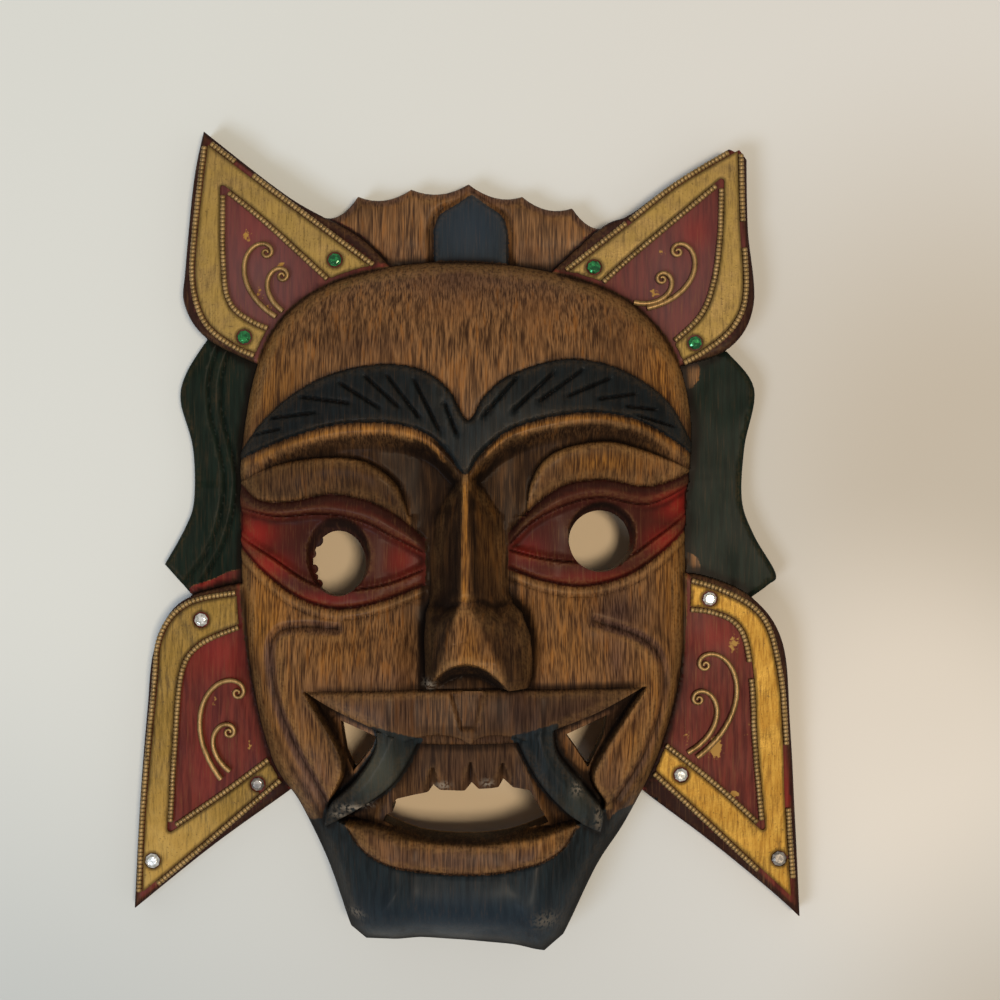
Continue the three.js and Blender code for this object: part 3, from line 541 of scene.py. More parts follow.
# %% The mouth's outlines
MOUTH = outline([
    [(-50, -46.8), (-38, -68), (-43, -83), (-38, -88)],
    [(-38, -88), (-27.5, -87.9), (-14, -91.8), (0, -93), (14, -92.1), (27, -89.1), (36, -87.5)],
    [(36, -87.5), (44, -82.5), (40.5, -70.5), (57, -45.4)],
    [(57, -45.4), (-50, -46.8)],
])
OPENING = outline([
    [(-21, -79.6), (-22.6, -81.4), (-22.2, -83.4), (-24.4, -84.6), (-25.3, -86.6)],
    [(-25.3, -86.6), (-14, -91.2), (0, -92.5), (14, -91.3), (26, -87)],
    [(26, -87), (20.2, -77)],
    [(20.2, -77), (15, -76.3)], [(15, -76.3), (12, -73.7)], [(12, -73.7), (10.4, -76.3)],
    [(10.4, -76.3), (4.2, -76.7)], [(4.2, -76.7), (2.2, -74.8)], [(2.2, -74.8), (0, -77.3)],
    [(0, -77.3), (-7.8, -77)], [(-7.8, -77), (-9.8, -75.6)], [(-9.8, -75.6), (-11.4, -77.8)],
    [(-11.4, -77.8), (-21, -79.6)],
])
LEFT_CORNER = np.array([(-39, -56), (-27.6, -60.8), (-29, -64.4), (-35, -72), (-37.6, -66)], float)
RIGHT_CORNER = np.array([(31.4, -60.3), (44.6, -54.5), (43.4, -61), (38.5, -71), (34.4, -64.6)], float)
LIP = outline([
    [(-50, -46.5), (-25, -45.6), (20, -45), (57, -45.2)],
    [(57, -45.2), (41, -53.2), (27, -58.4), (19, -61.6), (13, -62.6), (0, -62.9), (-14, -62.6), (-22, -60.2),
     (-40, -52.4), (-50, -46.8)],
])
LIP_ARCS = height_of([(-20, -61.5), (-15, -60), (-8.3, -59), (-2, -60), (1.9, -61.9), (4, -60.2), (8.7, -59.1),
                      (14, -59.6), (19.2, -61), (24, -62)])
PHILTRUM = np.array([(-4.8, -46), (5.9, -46), (3.4, -57.7), (-1.2, -57.7)], float)
TEETH = np.array([(-14, -56), (-21, -72), (-36, -86), (-29, -88.5), (30, -88.5), (37, -86), (22, -72), (15, -56)],
                 float)
TOOTH_GAPS = [(-10, -76.5, -70), (1.8, -75.5, -68.5), (11.8, -74.5, -68.8)]  # middle, foot and head of each V
TUSKS = [
    {
        "outline": [[(-28, -57), (-13.5, -61)], [(-13.5, -61), (-21, -74), (-33, -83.5), (-44.5, -90)],
                    [(-44.5, -90), (-42.5, -82), (-34, -73.5), (-28, -64), (-28, -57)]],
        "spine": [(-21, -58), (-28.5, -72), (-38, -81.5), (-44, -89)],
    },
    {
        "outline": [[(15, -60), (28, -56)], [(28, -56), (29, -65), (37.5, -76), (43.3, -84), (42.5, -91.5)],
                    [(42.5, -91.5), (32, -85), (22, -73.5), (15, -60)]],
        "spine": [(22, -57), (27, -70), (35.5, -80.5), (42, -89)],
    },
]
LOWER_LIP = outline([
    [(-37, -88.4), (-27.5, -87.9), (-14, -91.8), (0, -93), (14, -92.1), (27, -89.1), (35, -87.6)],
    [(35, -87.6), (29, -96.2), (14, -101.3), (-4, -102.3), (-20, -100.3), (-31, -96), (-37, -88.4)],
])
for tusk in TUSKS:
    tusk["outline"] = outline(tusk["outline"])
    tusk["spine"] = curve_through(tusk["spine"])
CHEEK_FOLDS = [
    [(-40.1, -27.3), (-50.9, -27), (-58.6, -28.5), (-61.7, -35), (-59.6, -48.9), (-54, -62.8), (-43.2, -82.3)],
    [(40.3, -24.8), (54.2, -29.8), (61.3, -36.6), (62.8, -48.9), (57.3, -65.9), (47.4, -81.4)],
    [(-50.4, -47.5), (-43, -59), (-40, -68), (-40.5, -79)],
    [(57, -46.5), (48, -60), (44.2, -70), (43.4, -79)],
]
CHEEK_FOLDS = [curve_through(fold) for fold in CHEEK_FOLDS]
print(len(TUSKS), "tusks and", len(TOOTH_GAPS), "gaps between the teeth")

# %% Lips, teeth and tusks
MOUTH_SINK = 8  # of the dark recess round the teeth
TEETH_BACK, TEETH_SLOPE = 2.4, 0.09  # how far back the teeth stand at the lip, and how they fall to their ends
GAP_DEPTH, TUSK_RISE, TUSK_FALL = 1.9, 3.6, 0.42
LIP_SWELL, LOWER_LIP_SWELL = 2.6, 2.2


def mouth_detail(x, y, ground):
    """Everything from the upper lip to the chin, laid over the ground of the face."""
    z = ground.copy()
    for fold in CHEEK_FOLDS[:2]:  # the two folds that run down from the nose are cut, with a low rim outside
        off = distance(x, y, fold)
        z = z + groove(off, 4.0, 1.9) + ridge(off - 2.9, 2.6, 0.5)
    for fold in CHEEK_FOLDS[2:]:  # the two beside the mouth are raised
        z = z + ridge(distance(x, y, fold), 2.4, 0.6)
    z = z - MOUTH_SINK * ramp(depth_in(x, y, MOUTH), -0.3, 1.2)
    teeth = depth_in(x, y, TEETH)
    face_of_teeth = ground - TEETH_BACK + TEETH_SLOPE * (y + 62)
    for middle, foot, head in TOOTH_GAPS:
        half = 0.4 + 2.2 * np.clip((head - y) / (head - foot), 0, 1.6)
        into = np.clip(1 - np.abs(x - middle) / half, 0, 1) * (y < head)
        face_of_teeth = face_of_teeth - GAP_DEPTH * into
    beside = ramp(np.abs(x + 1) - 0.45 * (-62 - y), 15.5, 18)
    face_of_teeth = face_of_teeth - 1.6 * beside
    z = np.where(teeth > 0, np.maximum(z, mix(z, face_of_teeth, ramp(teeth, -0.2, 0.5))), z)
    for tusk in TUSKS:
        depth = depth_in(x, y, tusk["outline"])
        spine = distance(x, y, tusk["spine"])
        blade = ground + TUSK_RISE - TUSK_FALL * spine
        z = np.where(depth > 0, np.maximum(z, mix(z, blade, ramp(depth, 0, 0.9))), z)
    lip = depth_in(x, y, LIP)
    swell = LIP_SWELL + 0.9 * rounded(lip / 7) + 0.8 * ramp(lip, 0, 1.2)
    hollowed = -1.3 * ramp(depth_in(x, y, PHILTRUM), -0.3, 0.9)
    lip_face = ground + swell - 0.9 + hollowed
    bevel = ramp(LIP_ARCS(x) - y, -0.1, 0.5) + ramp(LIP_ARCS(x) - y, 0, 3.5) * 0.8
    bevel = np.where(np.abs(x - 1.5) < 20, bevel, 0)
    z = np.where(lip > 0, np.maximum(z, mix(z, lip_face - bevel, ramp(lip, 0, 0.7))), z)
    under = depth_in(x, y, LOWER_LIP)
    z = z + np.where(under > 0, LOWER_LIP_SWELL * rounded(under / 3.5), 0)
    z = z + groove(under, 1.6, 0.9) * (y < -89)
    return z


# %% The hollow behind
MIDDLE = np.array([0.0, -18.0])
HOLLOW_RISE = (25, 25.5)  # height of the hollow behind the mouth and behind the eyes
WALL_SHARE = 0.12  # of the way from the outline to the middle is left as the flat rim
MOUTH_POCKET = 22  # the back is cut away to this height round the mouth


def under_side(x, y, inside):
    """The back: flat at the table, with a smooth hollow behind the face."""
    rise = mix(*HOLLOW_RISE, ramp(y, -72, -34))
    out = np.hypot(x - MIDDLE[0], y - MIDDLE[1])
    share = inside / np.maximum(inside + 0.92 * out, 1)
    hollow = rise * rounded((share - WALL_SHARE) / 0.42) * (share > WALL_SHARE)
    return np.maximum(hollow, MOUTH_POCKET * ramp(depth_in(x, y, OPENING), -7, 0))


print("the hollow is", max(HOLLOW_RISE), "mm deep")

# %% Chin and the face as a whole
CHIN_SWELL, CHIN_FLAT = 4.6, 2.0


def chin_relief(x, y):
    """The chin swells, and is cut flat at its foot."""
    swell = np.exp(-(((x + 2) / 31) ** 4)) * np.exp(-(((y + 114) / 11) ** 2))
    flat = CHIN_FLAT * ramp(y, -118, -127)
    return CHIN_SWELL * swell - flat * np.exp(-((x / 40) ** 4))


def face_surface(x, y, inside):
    """The face from brow to chin, with the nose standing over it and the eyes cut through."""
    ground = face_block(x, y, inside) + eye_ground(x, y) + chin_relief(x, y)
    z = ground + eye_detail(x, y) + brow_detail(x, y)
    z = mouth_detail(x, y, z)
    nose = nose_height(x, y, ground)
    lip = ramp(depth_in(x, y, LIP), -0.3, 0.3)
    z = np.where(nose > z, mix(nose, z, lip), z)
    for eye in EYES:  # the holes are cut through with a slanting wall
        front, through = ellipse_depth(x, y, eye["front"]), ellipse_depth(x, y, eye["through"])
        fall = np.clip(front / np.maximum(front - through, 0.35), 0, 1)
        z = np.where(front > 0, mix(z, under_side(x, y, inside) + 1.5, fall**0.8), z)
    return z


# %% Crest, locks and ears
CREST_TOP = 12
LOCK_TOP = 10
JEWEL_RISE = 2.2  # of the pointed plaque above the crest
LOCK_GROOVES = [
    [(-80, 63.4), (-83.4, 52.3), (-83.1, 41.1), (-80, 28.9), (-78.4, 18.9), (-80, 6.6), (-83.9, -3.4),
     (-91.7, -14.6)],
    [(-76.5, 62), (-79.5, 52), (-79.2, 41), (-76.2, 29), (-74.6, 18.9), (-76, 7), (-79.6, -3.4), (-86, -14)],
]
LOCK_GROOVES = [curve_through(line) for line in LOCK_GROOVES]


def worn_edge(depth, size):
    """How far an edge is rounded down, depth millimetres inside it."""
    return -size * (1 - np.clip(depth / size, 0, 1)) ** 2


TOUCH = -0.05  # a corner placed on an outline may lie this far outside it, and still belongs to the board


def boards_surface(x, y):
    """The highest of crest, plaque, locks and ears, and minus infinity beside them."""
    z = np.full(x.shape, -np.inf)
    crest = depth_in(x, y, CREST)
    bevel = -1.6 * ramp(crest, 3.0, 0.0)
    board = CREST_TOP + bevel + worn_edge(crest, 0.8) - 1.2 * ramp(y, 97, 89)
    jewel = depth_in(x, y, JEWEL)
    board = mix(board, CREST_TOP + JEWEL_RISE, ramp(jewel, -0.5, 0.8)) + groove(jewel + 1.5, 2.6, 1.0)
    z = np.where(crest > TOUCH, board, z)
    for lock in (LEFT_LOCK, RIGHT_LOCK):
        depth = depth_in(x, y, lock)
        z = np.where(depth > TOUCH, np.maximum(z, LOCK_TOP + worn_edge(depth, 1.4)), z)
    for line in LOCK_GROOVES:
        z = z + groove(distance(x, y, line), 2.2, 0.9)
    for ear in EARS.values():
        depth = depth_in(x, y, ear["outline"])
        top = ear_surface(ear, x, y) + worn_edge(depth, 1.2)
        z = np.where(depth > TOUCH, np.maximum(z, top), z)
    return z


print("heights of crest, locks and ears:", CREST_TOP, LOCK_TOP, EAR_TOP, "mm")

# %% The whole front, and the wood's outline
def front_side(x, y):
    """The carved front, and minus infinity outside the wood."""
    inside = depth_in(x, y, FACE)
    face = np.where(inside > TOUCH, face_surface(x, y, inside), -np.inf)
    return np.maximum(face, boards_surface(x, y))


KNIFE_MM = 6.0  # width of the flats that the gouge leaves
KNIFE_DEPTH = 0.22


def knife_marks(x, y):
    """Shallow flats left by the gouge, longer along the grain."""
    places = zip(x / KNIFE_MM, y / (1.8 * KNIFE_MM))
    flats = [noise.noise((a, b, 0.5)) - 0.4 * abs(noise.noise((3 * a, b, 4))) for a, b in places]
    return KNIFE_DEPTH * np.array(flats)


EYE_CHIPS = [  # splinters left in the hole: middle and radius
    ((-48.2, -9), 1.5), ((-48.9, -4.2), 1.5), ((-46.6, -13.6), 1.4), ((-47.6, -11.4), 0.9), ((-47.3, 0.2), 2.2),
]


def wood_depth(x, y):
    """How far inside the wood's outline and clear of its holes each place is."""
    loops = [FACE, CREST, LEFT_LOCK, RIGHT_LOCK, *(ear["outline"] for ear in EARS.values())]
    depth = np.max([depth_in(x, y, loop) for loop in loops], axis=0)
    depth = np.minimum(depth, -depth_in(x, y, np.array(EARS["upper_right"]["blunt"], float)))
    for hole in (OPENING, LEFT_CORNER, RIGHT_CORNER):
        depth = np.minimum(depth, -depth_in(x, y, hole))
    for eye in EYES:
        depth = np.minimum(depth, -ellipse_depth(x, y, eye["through"]))
    for (cx, cy), radius in EYE_CHIPS:
        depth = np.maximum(depth, np.minimum(radius - np.hypot(x - cx, y - cy), 3))
    return depth


print("splinters left in the left eye hole:", len(EYE_CHIPS))

# %% [markdown]
# ## From a grid to a closed piece
#
# A flat grid is laid over the plan. Cells that the carving bends are quartered, as an engraver works finer
# where the detail is. Corners near the outline are moved onto it, what lies outside is deleted, a Solidify
# modifier closes the sheet into a slab, and then each corner is raised or lowered to its height.

# %% Editing helpers
def pick(piece):
    """Makes a piece the only one selected, and the active one."""
    bpy.ops.object.select_all(action="DESELECT")
    bpy.context.view_layer.objects.active = piece
    piece.select_set(True)


def to_edit(piece, kind):
    pick(piece)
    bpy.ops.object.mode_set(mode="EDIT")
    bpy.ops.mesh.select_mode(type=kind)


def to_object():
    bpy.ops.object.mode_set(mode="OBJECT")


def choose(piece, kind, chosen):
    """Selects corners ("VERT") or faces ("FACE") of a piece by a row of yes and no, and goes to edit mode."""
    to_edit(piece, kind)
    bpy.ops.mesh.select_all(action="DESELECT")
    to_object()
    elements = piece.data.vertices if kind == "VERT" else piece.data.polygons
    elements.foreach_set("select", np.asarray(chosen, bool))
    to_edit(piece, kind)


def read(elements, field, width=1, kind=float):
    """One value, or one row of that width, from each corner, edge or face."""
    values = np.empty(len(elements) * width, kind)
    elements.foreach_get(field, values)
    return values.reshape(-1, width) if width > 1 else values


def turn_outward():
    """Turns every face of the piece that is being edited outward, and leaves edit mode."""
    bpy.ops.mesh.select_all(action="SELECT")
    bpy.ops.mesh.normals_make_consistent(inside=False)
    to_object()


def corners(piece):
    return read(piece.data.vertices, "co", 3)


def centres(piece):
    return read(piece.data.polygons, "center", 3)


def place_corners(piece, places):
    piece.data.vertices.foreach_set("co", np.asarray(places, np.float32).ravel())
    piece.data.update()


def apply_modifier(piece, kind, **settings):
    modifier = piece.modifiers.new(kind.title(), kind)
    for name, value in settings.items():
        setattr(modifier, name, value)
    pick(piece)
    bpy.ops.object.modifier_apply(modifier=modifier.name)


# %% Cutting a sheet to its outline
def start_grid(name, low, high, cell):
    """A flat grid of square cells over a rectangle of the plan, in millimetres."""
    bpy.ops.object.select_all(action="DESELECT")
    across, up = (math.ceil((h - l) / cell) for l, h in zip(low, high))
    bpy.ops.mesh.primitive_grid_add(x_subdivisions=across, y_subdivisions=up, size=1)
    piece = bpy.context.object
    piece.name = piece.data.name = name
    places = corners(piece)
    size = np.array([across, up]) * cell
    places[:, :2] = places[:, :2] * size + (np.array(low) + np.array(high)) / 2
    place_corners(piece, places)
    return piece


def delete_outside(piece, depth_of, margin):
    """Deletes the cells whose centres are less than the margin inside the outline."""
    middle = centres(piece)
    choose(piece, "FACE", depth_of(middle[:, 0], middle[:, 1]) < margin)
    bpy.ops.mesh.delete(type="FACE")
    to_object()


def quarter(piece, chosen):
    choose(piece, "FACE", chosen)
    bpy.ops.mesh.subdivide(number_cuts=1, quadcorner="STRAIGHT_CUT")
    to_object()


# %% Moving the edge of a sheet onto its outline
def pinched(piece):
    """Faces at a corner where two parts of the sheet touch by that corner alone."""
    mesh = piece.data
    starts = read(mesh.polygons, "loop_start", kind=int)
    edges, owners = read(mesh.loops, "edge_index", kind=int), read(mesh.loops, "vertex_index", kind=int)
    open_edges = read(mesh.edges, "vertices", 2, int)[np.bincount(edges, minlength=len(mesh.edges)) == 1]
    at = np.bincount(open_edges.ravel(), minlength=len(mesh.vertices)) > 2
    return np.maximum.reduceat(at[owners], starts)


def fit_outline(piece, depth_of, cell):
    """Moves one end of each edge that crosses the outline onto it and deletes what is left outside.

    Cells that a moved corner has cut across are split, and slivers that hang on by one corner go too.
    """
    places = corners(piece)
    depth = depth_of(places[:, 0], places[:, 1])
    ends = read(piece.data.edges, "vertices", 2, int)
    for _ in range(2):
        a, b = ends[(depth[ends[:, 0]] * depth[ends[:, 1]]) < 0].T
        share = depth[a] / (depth[a] - depth[b])
        for _ in range(3):  # the depth bends near a corner of the outline, so the crossing is sought again
            at = places[a] + (places[b] - places[a]) * share[:, None]
            error = depth_of(at[:, 0], at[:, 1])
            share = np.clip(share + error / (depth[a] - depth[b]), 0.0, 1.0)
        at = places[a] + (places[b] - places[a]) * share[:, None]
        moving = np.where(share < 0.5, a, b)
        order = np.argsort(-np.minimum(share, 1 - share))
        places[moving[order]] = at[order]
        depth[moving] = 0
    place_corners(piece, places)
    choose(piece, "VERT", depth == 0)
    bpy.ops.mesh.vert_connect()
    to_object()
    delete_outside(piece, depth_of, 0.03 * cell)
    for _ in range(6):
        middle = centres(piece)
        loose = pinched(piece) & (depth_of(middle[:, 0], middle[:, 1]) < 0.45 * cell)
        if not loose.any():
            break
        choose(piece, "FACE", loose)
        bpy.ops.mesh.delete(type="FACE")
        to_object()


def to_slab(piece, top, bottom):
    """Closes the flat sheet and gives its two sides their heights, in millimetres."""
    apply_modifier(piece, "SOLIDIFY", thickness=1, offset=-1)
    places = corners(piece)
    low_side = places[:, 2] < places[:, 2].mean()
    x, y = places[:, 0], places[:, 1]
    places[~low_side, 2] = top(x[~low_side], y[~low_side])
    places[low_side, 2] = bottom(x[low_side], y[low_side])
    place_corners(piece, places)
    return low_side


# %% [markdown]
# ## The carved block
#
# The cells start 1.4 millimetres wide. Wherever the height at a cell's centre differs from the
# mean of its corners, the cell is quartered, twice at most. The back is plain, so a collapse decimation
# thins it and leaves the triangles for the front.

# %% Carve
CELL = 1.4
BEND_LIMITS = (0.07, 0.15)  # millimetres of bend inside a cell that call for a finer one
RIM_SHARE = 0.9  # of a cell: how near the outline every cell is quartered
BACK_SHARE = 0.08  # of the back's triangles that are kept


def bend_in_cells(piece, surface):
    """How far the surface at each cell's centre is from the mean of the cell's corners."""
    places, middle = corners(piece), centres(piece)
    z = surface(places[:, 0], places[:, 1])
    starts = read(piece.data.polygons, "loop_start", kind=int)
    owners = read(piece.data.loops, "vertex_index", kind=int)
    sides = np.diff(np.append(starts, len(owners)))
    z = np.where(np.isfinite(z), z, 0)
    mean = np.add.reduceat(z[owners], starts) / sides
    at_centre = surface(middle[:, 0], middle[:, 1])
    return np.abs(np.where(np.isfinite(at_centre), at_centre, 0) - mean)


loops = [FACE, CREST, *(ear["outline"] for ear in EARS.values())]
wood_low = np.min([loop.min(0) for loop in loops], axis=0) - 2
wood_high = np.max([loop.max(0) for loop in loops], axis=0) + 2
mask = start_grid("carved_wood", wood_low, wood_high, CELL)
delete_outside(mask, wood_depth, -1.5 * CELL)
cell = CELL
for limit in BEND_LIMITS:
    middle = centres(mask)
    rim = np.abs(wood_depth(middle[:, 0], middle[:, 1])) < RIM_SHARE * cell
    quarter(mask, rim | (bend_in_cells(mask, front_side) > limit))
    print("cells:", len(mask.data.polygons))
    cell /= 2
fit_outline(mask, wood_depth, cell)
low_side = to_slab(
    mask,
    lambda x, y: np.nan_to_num(front_side(x, y), neginf=LOCK_TOP) + knife_marks(x, y),
    lambda x, y: under_side(x, y, depth_in(x, y, FACE)),
)
print("carved wood:", len(mask.data.polygons), "faces")
in_millimetres = corners(mask)
plan_x, plan_y = in_millimetres[:, 0].copy(), in_millimetres[:, 1].copy()

# %% Thin the back
from_edge = wood_depth(plan_x, plan_y)
back_inside = low_side & (from_edge > CELL)
choose(mask, "VERT", back_inside)
bpy.ops.mesh.decimate(ratio=BACK_SHARE, use_vertex_group=False)
turn_outward()
triangles = sum(len(face.vertices) - 2 for face in mask.data.polygons)
print("carved wood after thinning:", triangles, "triangles")
in_millimetres = corners(mask)
plan_x, plan_y, plan_z = in_millimetres.T.copy()

# %% [markdown]
# ## Where the colours lie
#
# The painter follows the carving: red ears and eyes, green side locks, blue-black brows, plaque, tusks and
# chin, and everything else stained brown. Each paint is stored at the corners as its depth inside its own
# outline in millimetres, so that the material can give it a ragged brushed edge finer than the mesh.

# %% Store values on the mesh
def store(piece, name, values):
    attribute = piece.data.attributes.new(name, "FLOAT", "POINT")
    attribute.data.foreach_set("value", np.asarray(values, np.float32))


def spots(places):
    """A soft share from 0 to 1 at the mask's corners, made of oval spots: middle, half sizes, strength."""
    share = np.zeros(plan_x.shape)
    for (cx, cy), (rx, ry), strength in places:
        share = np.maximum(share, strength * np.exp(-(((plan_x - cx) / rx) ** 2) - ((plan_y - cy) / ry) ** 2))
    return share


def depth_of_corners(loop):
    return depth_in(plan_x, plan_y, np.asarray(loop, float))


# %% Paint outlines
CHIN_PAINT = outline([
    [(-60, -86), (-50, -88.3), (-45, -87), (-38, -87.5), (-36.6, -89.5), (-31, -96), (-20, -100.3), (-4, -102.3),
     (14, -101.3), (29, -96.2), (35.5, -88.5), (42, -90), (45, -87.5), (49, -84.5), (62, -83)],
    [(62, -83), (50, -140)],
    [(50, -140), (-50, -140)],
    [(-50, -140), (-60, -86)],
])
LEFT_GREEN_END = [(-110, -19), (-91.8, -18.2), (-89.5, -15.2), (-81.9, -12.6), (-75.5, -9.9), (-60, -8)]
RIGHT_GREEN_END = [(60, -6), (72, -9), (77, -12), (82, -16), (90, -20), (110, -22)]
UNPAINTED = [((71.4, 55), (4.4, 6)), ((71, -9), (5, 5))]  # ovals of bare wood beside the right lock
green_end = [height_of(LEFT_GREEN_END), height_of(RIGHT_GREEN_END)]
print("points of the chin's paint:", len(CHIN_PAINT))

# %% Depth inside each paint
face_depth = depth_of_corners(FACE)
ear_depth = np.max([depth_of_corners(ear["outline"]) for ear in EARS.values()], axis=0)
lock_depth = np.maximum(depth_of_corners(LEFT_LOCK), depth_of_corners(RIGHT_LOCK))
lower_end = plan_y - np.where(plan_x < 0, green_end[0](plan_x), green_end[1](plan_x))
green = np.minimum.reduce([lock_depth + 1, -ear_depth, -face_depth, lower_end])
green = np.minimum.reduce([green, *(-ellipse_depth(plan_x, plan_y, oval) for oval in UNPAINTED)])
left_patch = np.minimum.reduce([lock_depth + 1, -ear_depth, -face_depth, -lower_end, -plan_x - 20])
eye_red = np.full(plan_x.shape, -9.0)
for eye, side in zip(EYES, (-1, 1)):
    between = np.minimum(-from_line(plan_x, plan_y, eye["top"]), from_line(plan_x, plan_y, eye["bottom"]) + 0.4)
    eye_red = np.maximum(eye_red, np.minimum(between, side * (plan_x - eye["inner_end"])))
red = np.maximum.reduce([np.minimum(ear_depth + 1, -face_depth), left_patch, np.minimum(eye_red, face_depth)])
brows = np.minimum(-from_line(plan_x, plan_y, brow_top), from_line(plan_x, plan_y, brow_bottom))
tusk_paint = np.max([depth_of_corners(tusk["outline"]) for tusk in TUSKS], axis=0) + 0.7
chin_paint = np.minimum(depth_of_corners(CHIN_PAINT), -depth_of_corners(LOWER_LIP) - 0.3)
jewel_paint = np.minimum(depth_of_corners(JEWEL) + 0.1, -face_depth)
blue = np.maximum.reduce([np.minimum(brows, face_depth), tusk_paint, chin_paint, jewel_paint])
for name, depth in (("red_mm", red), ("green_mm", green), ("blue_mm", blue)):
    store(mask, name, np.clip(depth, -6, 6))
    print(name, "covers", int((depth > 0).sum()), "corners")

# %% Broad tones of the stain, with painted highlights and shade
GOLD_SPOTS = [  # middle, half sizes, strength
    ((-63, 50), (9, 16), 0.55), ((64, 50), (9, 18), 0.7), ((-64, -24), (7, 14), 0.9), ((67, -14), (6, 20), 0.75),
    ((-40, -34), (12, 10), 0.3), ((-58, -52), (7, 10), 0.6), ((62, -50), (6, 14), 0.7), ((2, -33), (3.2, 7), 0.7),
    ((3.6, 19), (2, 5), 0.6), ((0.5, -26), (2.0, 5), 0.4), ((5, -36), (6, 2.6), 0.5), ((7, 4), (4, 14), 0.5),
    ((31, -33), (10, 12), 0.35), ((22, -92), (9, 4), 0.6), ((-18, -94), (9, 4), 0.3), ((-47, -58), (4, 8), 0.5),
    ((52, -62), (4, 9), 0.6), ((44, 25), (14, 3.5), 0.7), ((-42, 21), (13, 3.2), 0.35), ((33, -20), (12, 4), 0.3),
]
MAUVE_SPOTS = [
    ((0, 84), (60, 10), 0.5), ((47, -22), (9, 8), 1.0), ((47, -38), (3, 9), 0.8), ((20, -52), (36, 8), 0.9),
    ((-25, -52), (28, 8), 0.8), ((-28, -42), (12, 3), 0.8), ((0, -68), (24, 12), 0.7), ((-48, -76), (6, 10), 0.9),
    ((46, -78), (6, 10), 0.8), ((0, -97.5), (32, 5), 0.95), ((1, -61), (22, 2.2), 1.0), ((-50, -90), (8, 8), 0.8),
    ((50, -90), (8, 8), 0.6), ((-30, 62), (16, 5), 0.3),
]
# Dark spots: the specks on the upper ears and the smudge under the right eye are real marks. The spots under the
# brows, on the nose's flanks, at the corners and ends of the mouth and on the right cheek's edge are painted
# shade. The rest darken the wood.
DARK_SPOTS = [
    ((66.4, 84.6), (1.1, 1.8), 1.0), ((-66.8, 92.4), (1.1, 1.1), 1.0), ((-34, 64), (11, 5), 0.3),
    ((-44, -86), (6, 5), 0.6), ((44, -82), (5, 8), 0.5), ((-38, -62), (3, 9), 0.6), ((41, -60), (3, 9), 0.7),
    ((-34, -91), (6, 4), 0.75), ((32, -91), (6, 4), 0.75), ((47, -21), (7, 6), 0.4), ((66, -14), (5, 16), 0.3),
    ((56, 34), (14, 5), 0.5),
    ((-60, 30), (12, 5), 0.45), ((-7, -30), (3, 6), 0.5), ((9, -28), (4, 6), 0.5), ((4, -30), (4, 8), 0.3),
    ((16, -33), (6, 8), 0.4), ((-46, -62), (3, 9), 0.4), ((40, 107), (22, 3), 0.4), ((-40, 107), (22, 3), 0.3),
]
# Painted shade: the nose's flanks and the flat under it, the orbits beside the nose, the lids, round the teeth,
# inside the lower lip's rim, beside the mouth's corners and along the face's lower edges. On the lips it also
# darkens their tone.
SHADE_PLANES = [  # outline and strength
    ([(-0.9, 24), (-5, 30), (-15, 33), (-20, 25), (-17.5, 8), (-15, 0), (-14.4, -18), (-15, -26), (-14.4, -46.5),
      (-10.8, -46.5), (-6.5, -36), (-3.6, -25), (-1.4, -19), (-0.9, -16)], 1.0),
    ([(1.6, 24), (5, 30), (15, 34), (21, 28), (19, 10), (15.5, 0), (17, -18), (21.4, -23), (23, -32),
      (22.4, -46.5), (13, -45), (8, -32), (3.4, -23), (2, -18)], 0.78),
    ([(-11.6, -46), (-10.6, -43.4), (-5, -37.6), (0.8, -36.4), (6, -37.9), (12.4, -43.2), (13.4, -46)], 0.85),
    ([(-70.4, -20), (-66, -50), (-57, -74), (-50, -90), (-60, -90), (-78, -40)], 0.6),
    ([(5, -44), (57, -44), (30, -59), (5, -62)], 0.7),
    ([(-20, -60.6), (-8.3, -58.6), (1.9, -61), (8.7, -58.8), (24, -61.4), (18, -64), (-14, -64)], 0.6),
    ([(-55, 26), (-20, 24), (-14, 4), (-40, 13), (-74, 14), (-70, 20)], 0.7),
    ([(20, 4), (30, 24), (60, 27), (66, 18), (40, 18)], 0.3),
    ([(-36.8, -88.4), (-24.5, -91.6), (-7.9, -93.4), (5.9, -93.9), (20.9, -92.4), (35.4, -88), (28, -84),
      (20.3, -86), (5.9, -87), (-7.9, -86.4), (-23.6, -84)], 0.85),
    ([(70, -42.5), (66.3, -60.4), (57.6, -80.2), (47.7, -89.2), (46.1, -86.3), (57.3, -68.4), (65.2, -53),
      (68.4, -44.5)], 0.45),
    ([(-50.4, -47.9), (-39.4, -56.6), (-34.8, -71.8), (-37.1, -74.5), (-43.5, -60)], 0.85),
    ([(54.9, -47.1), (43.8, -55.1), (38.9, -69.9), (39.6, -73.7), (46.1, -62.3)], 0.85),
    ([(-13, 30), (-24, 30), (-20, 8), (-12, 2)], 0.8), ([(12, 32), (20, 30), (20, 12), (13, 4)], 0.6),
    (LIP, 0.42), (TEETH, 0.66), (LOWER_LIP, 0.28),
]
print(len(GOLD_SPOTS), "golden,", len(MAUVE_SPOTS), "mauve and", len(DARK_SPOTS) + len(SHADE_PLANES), "dark areas")

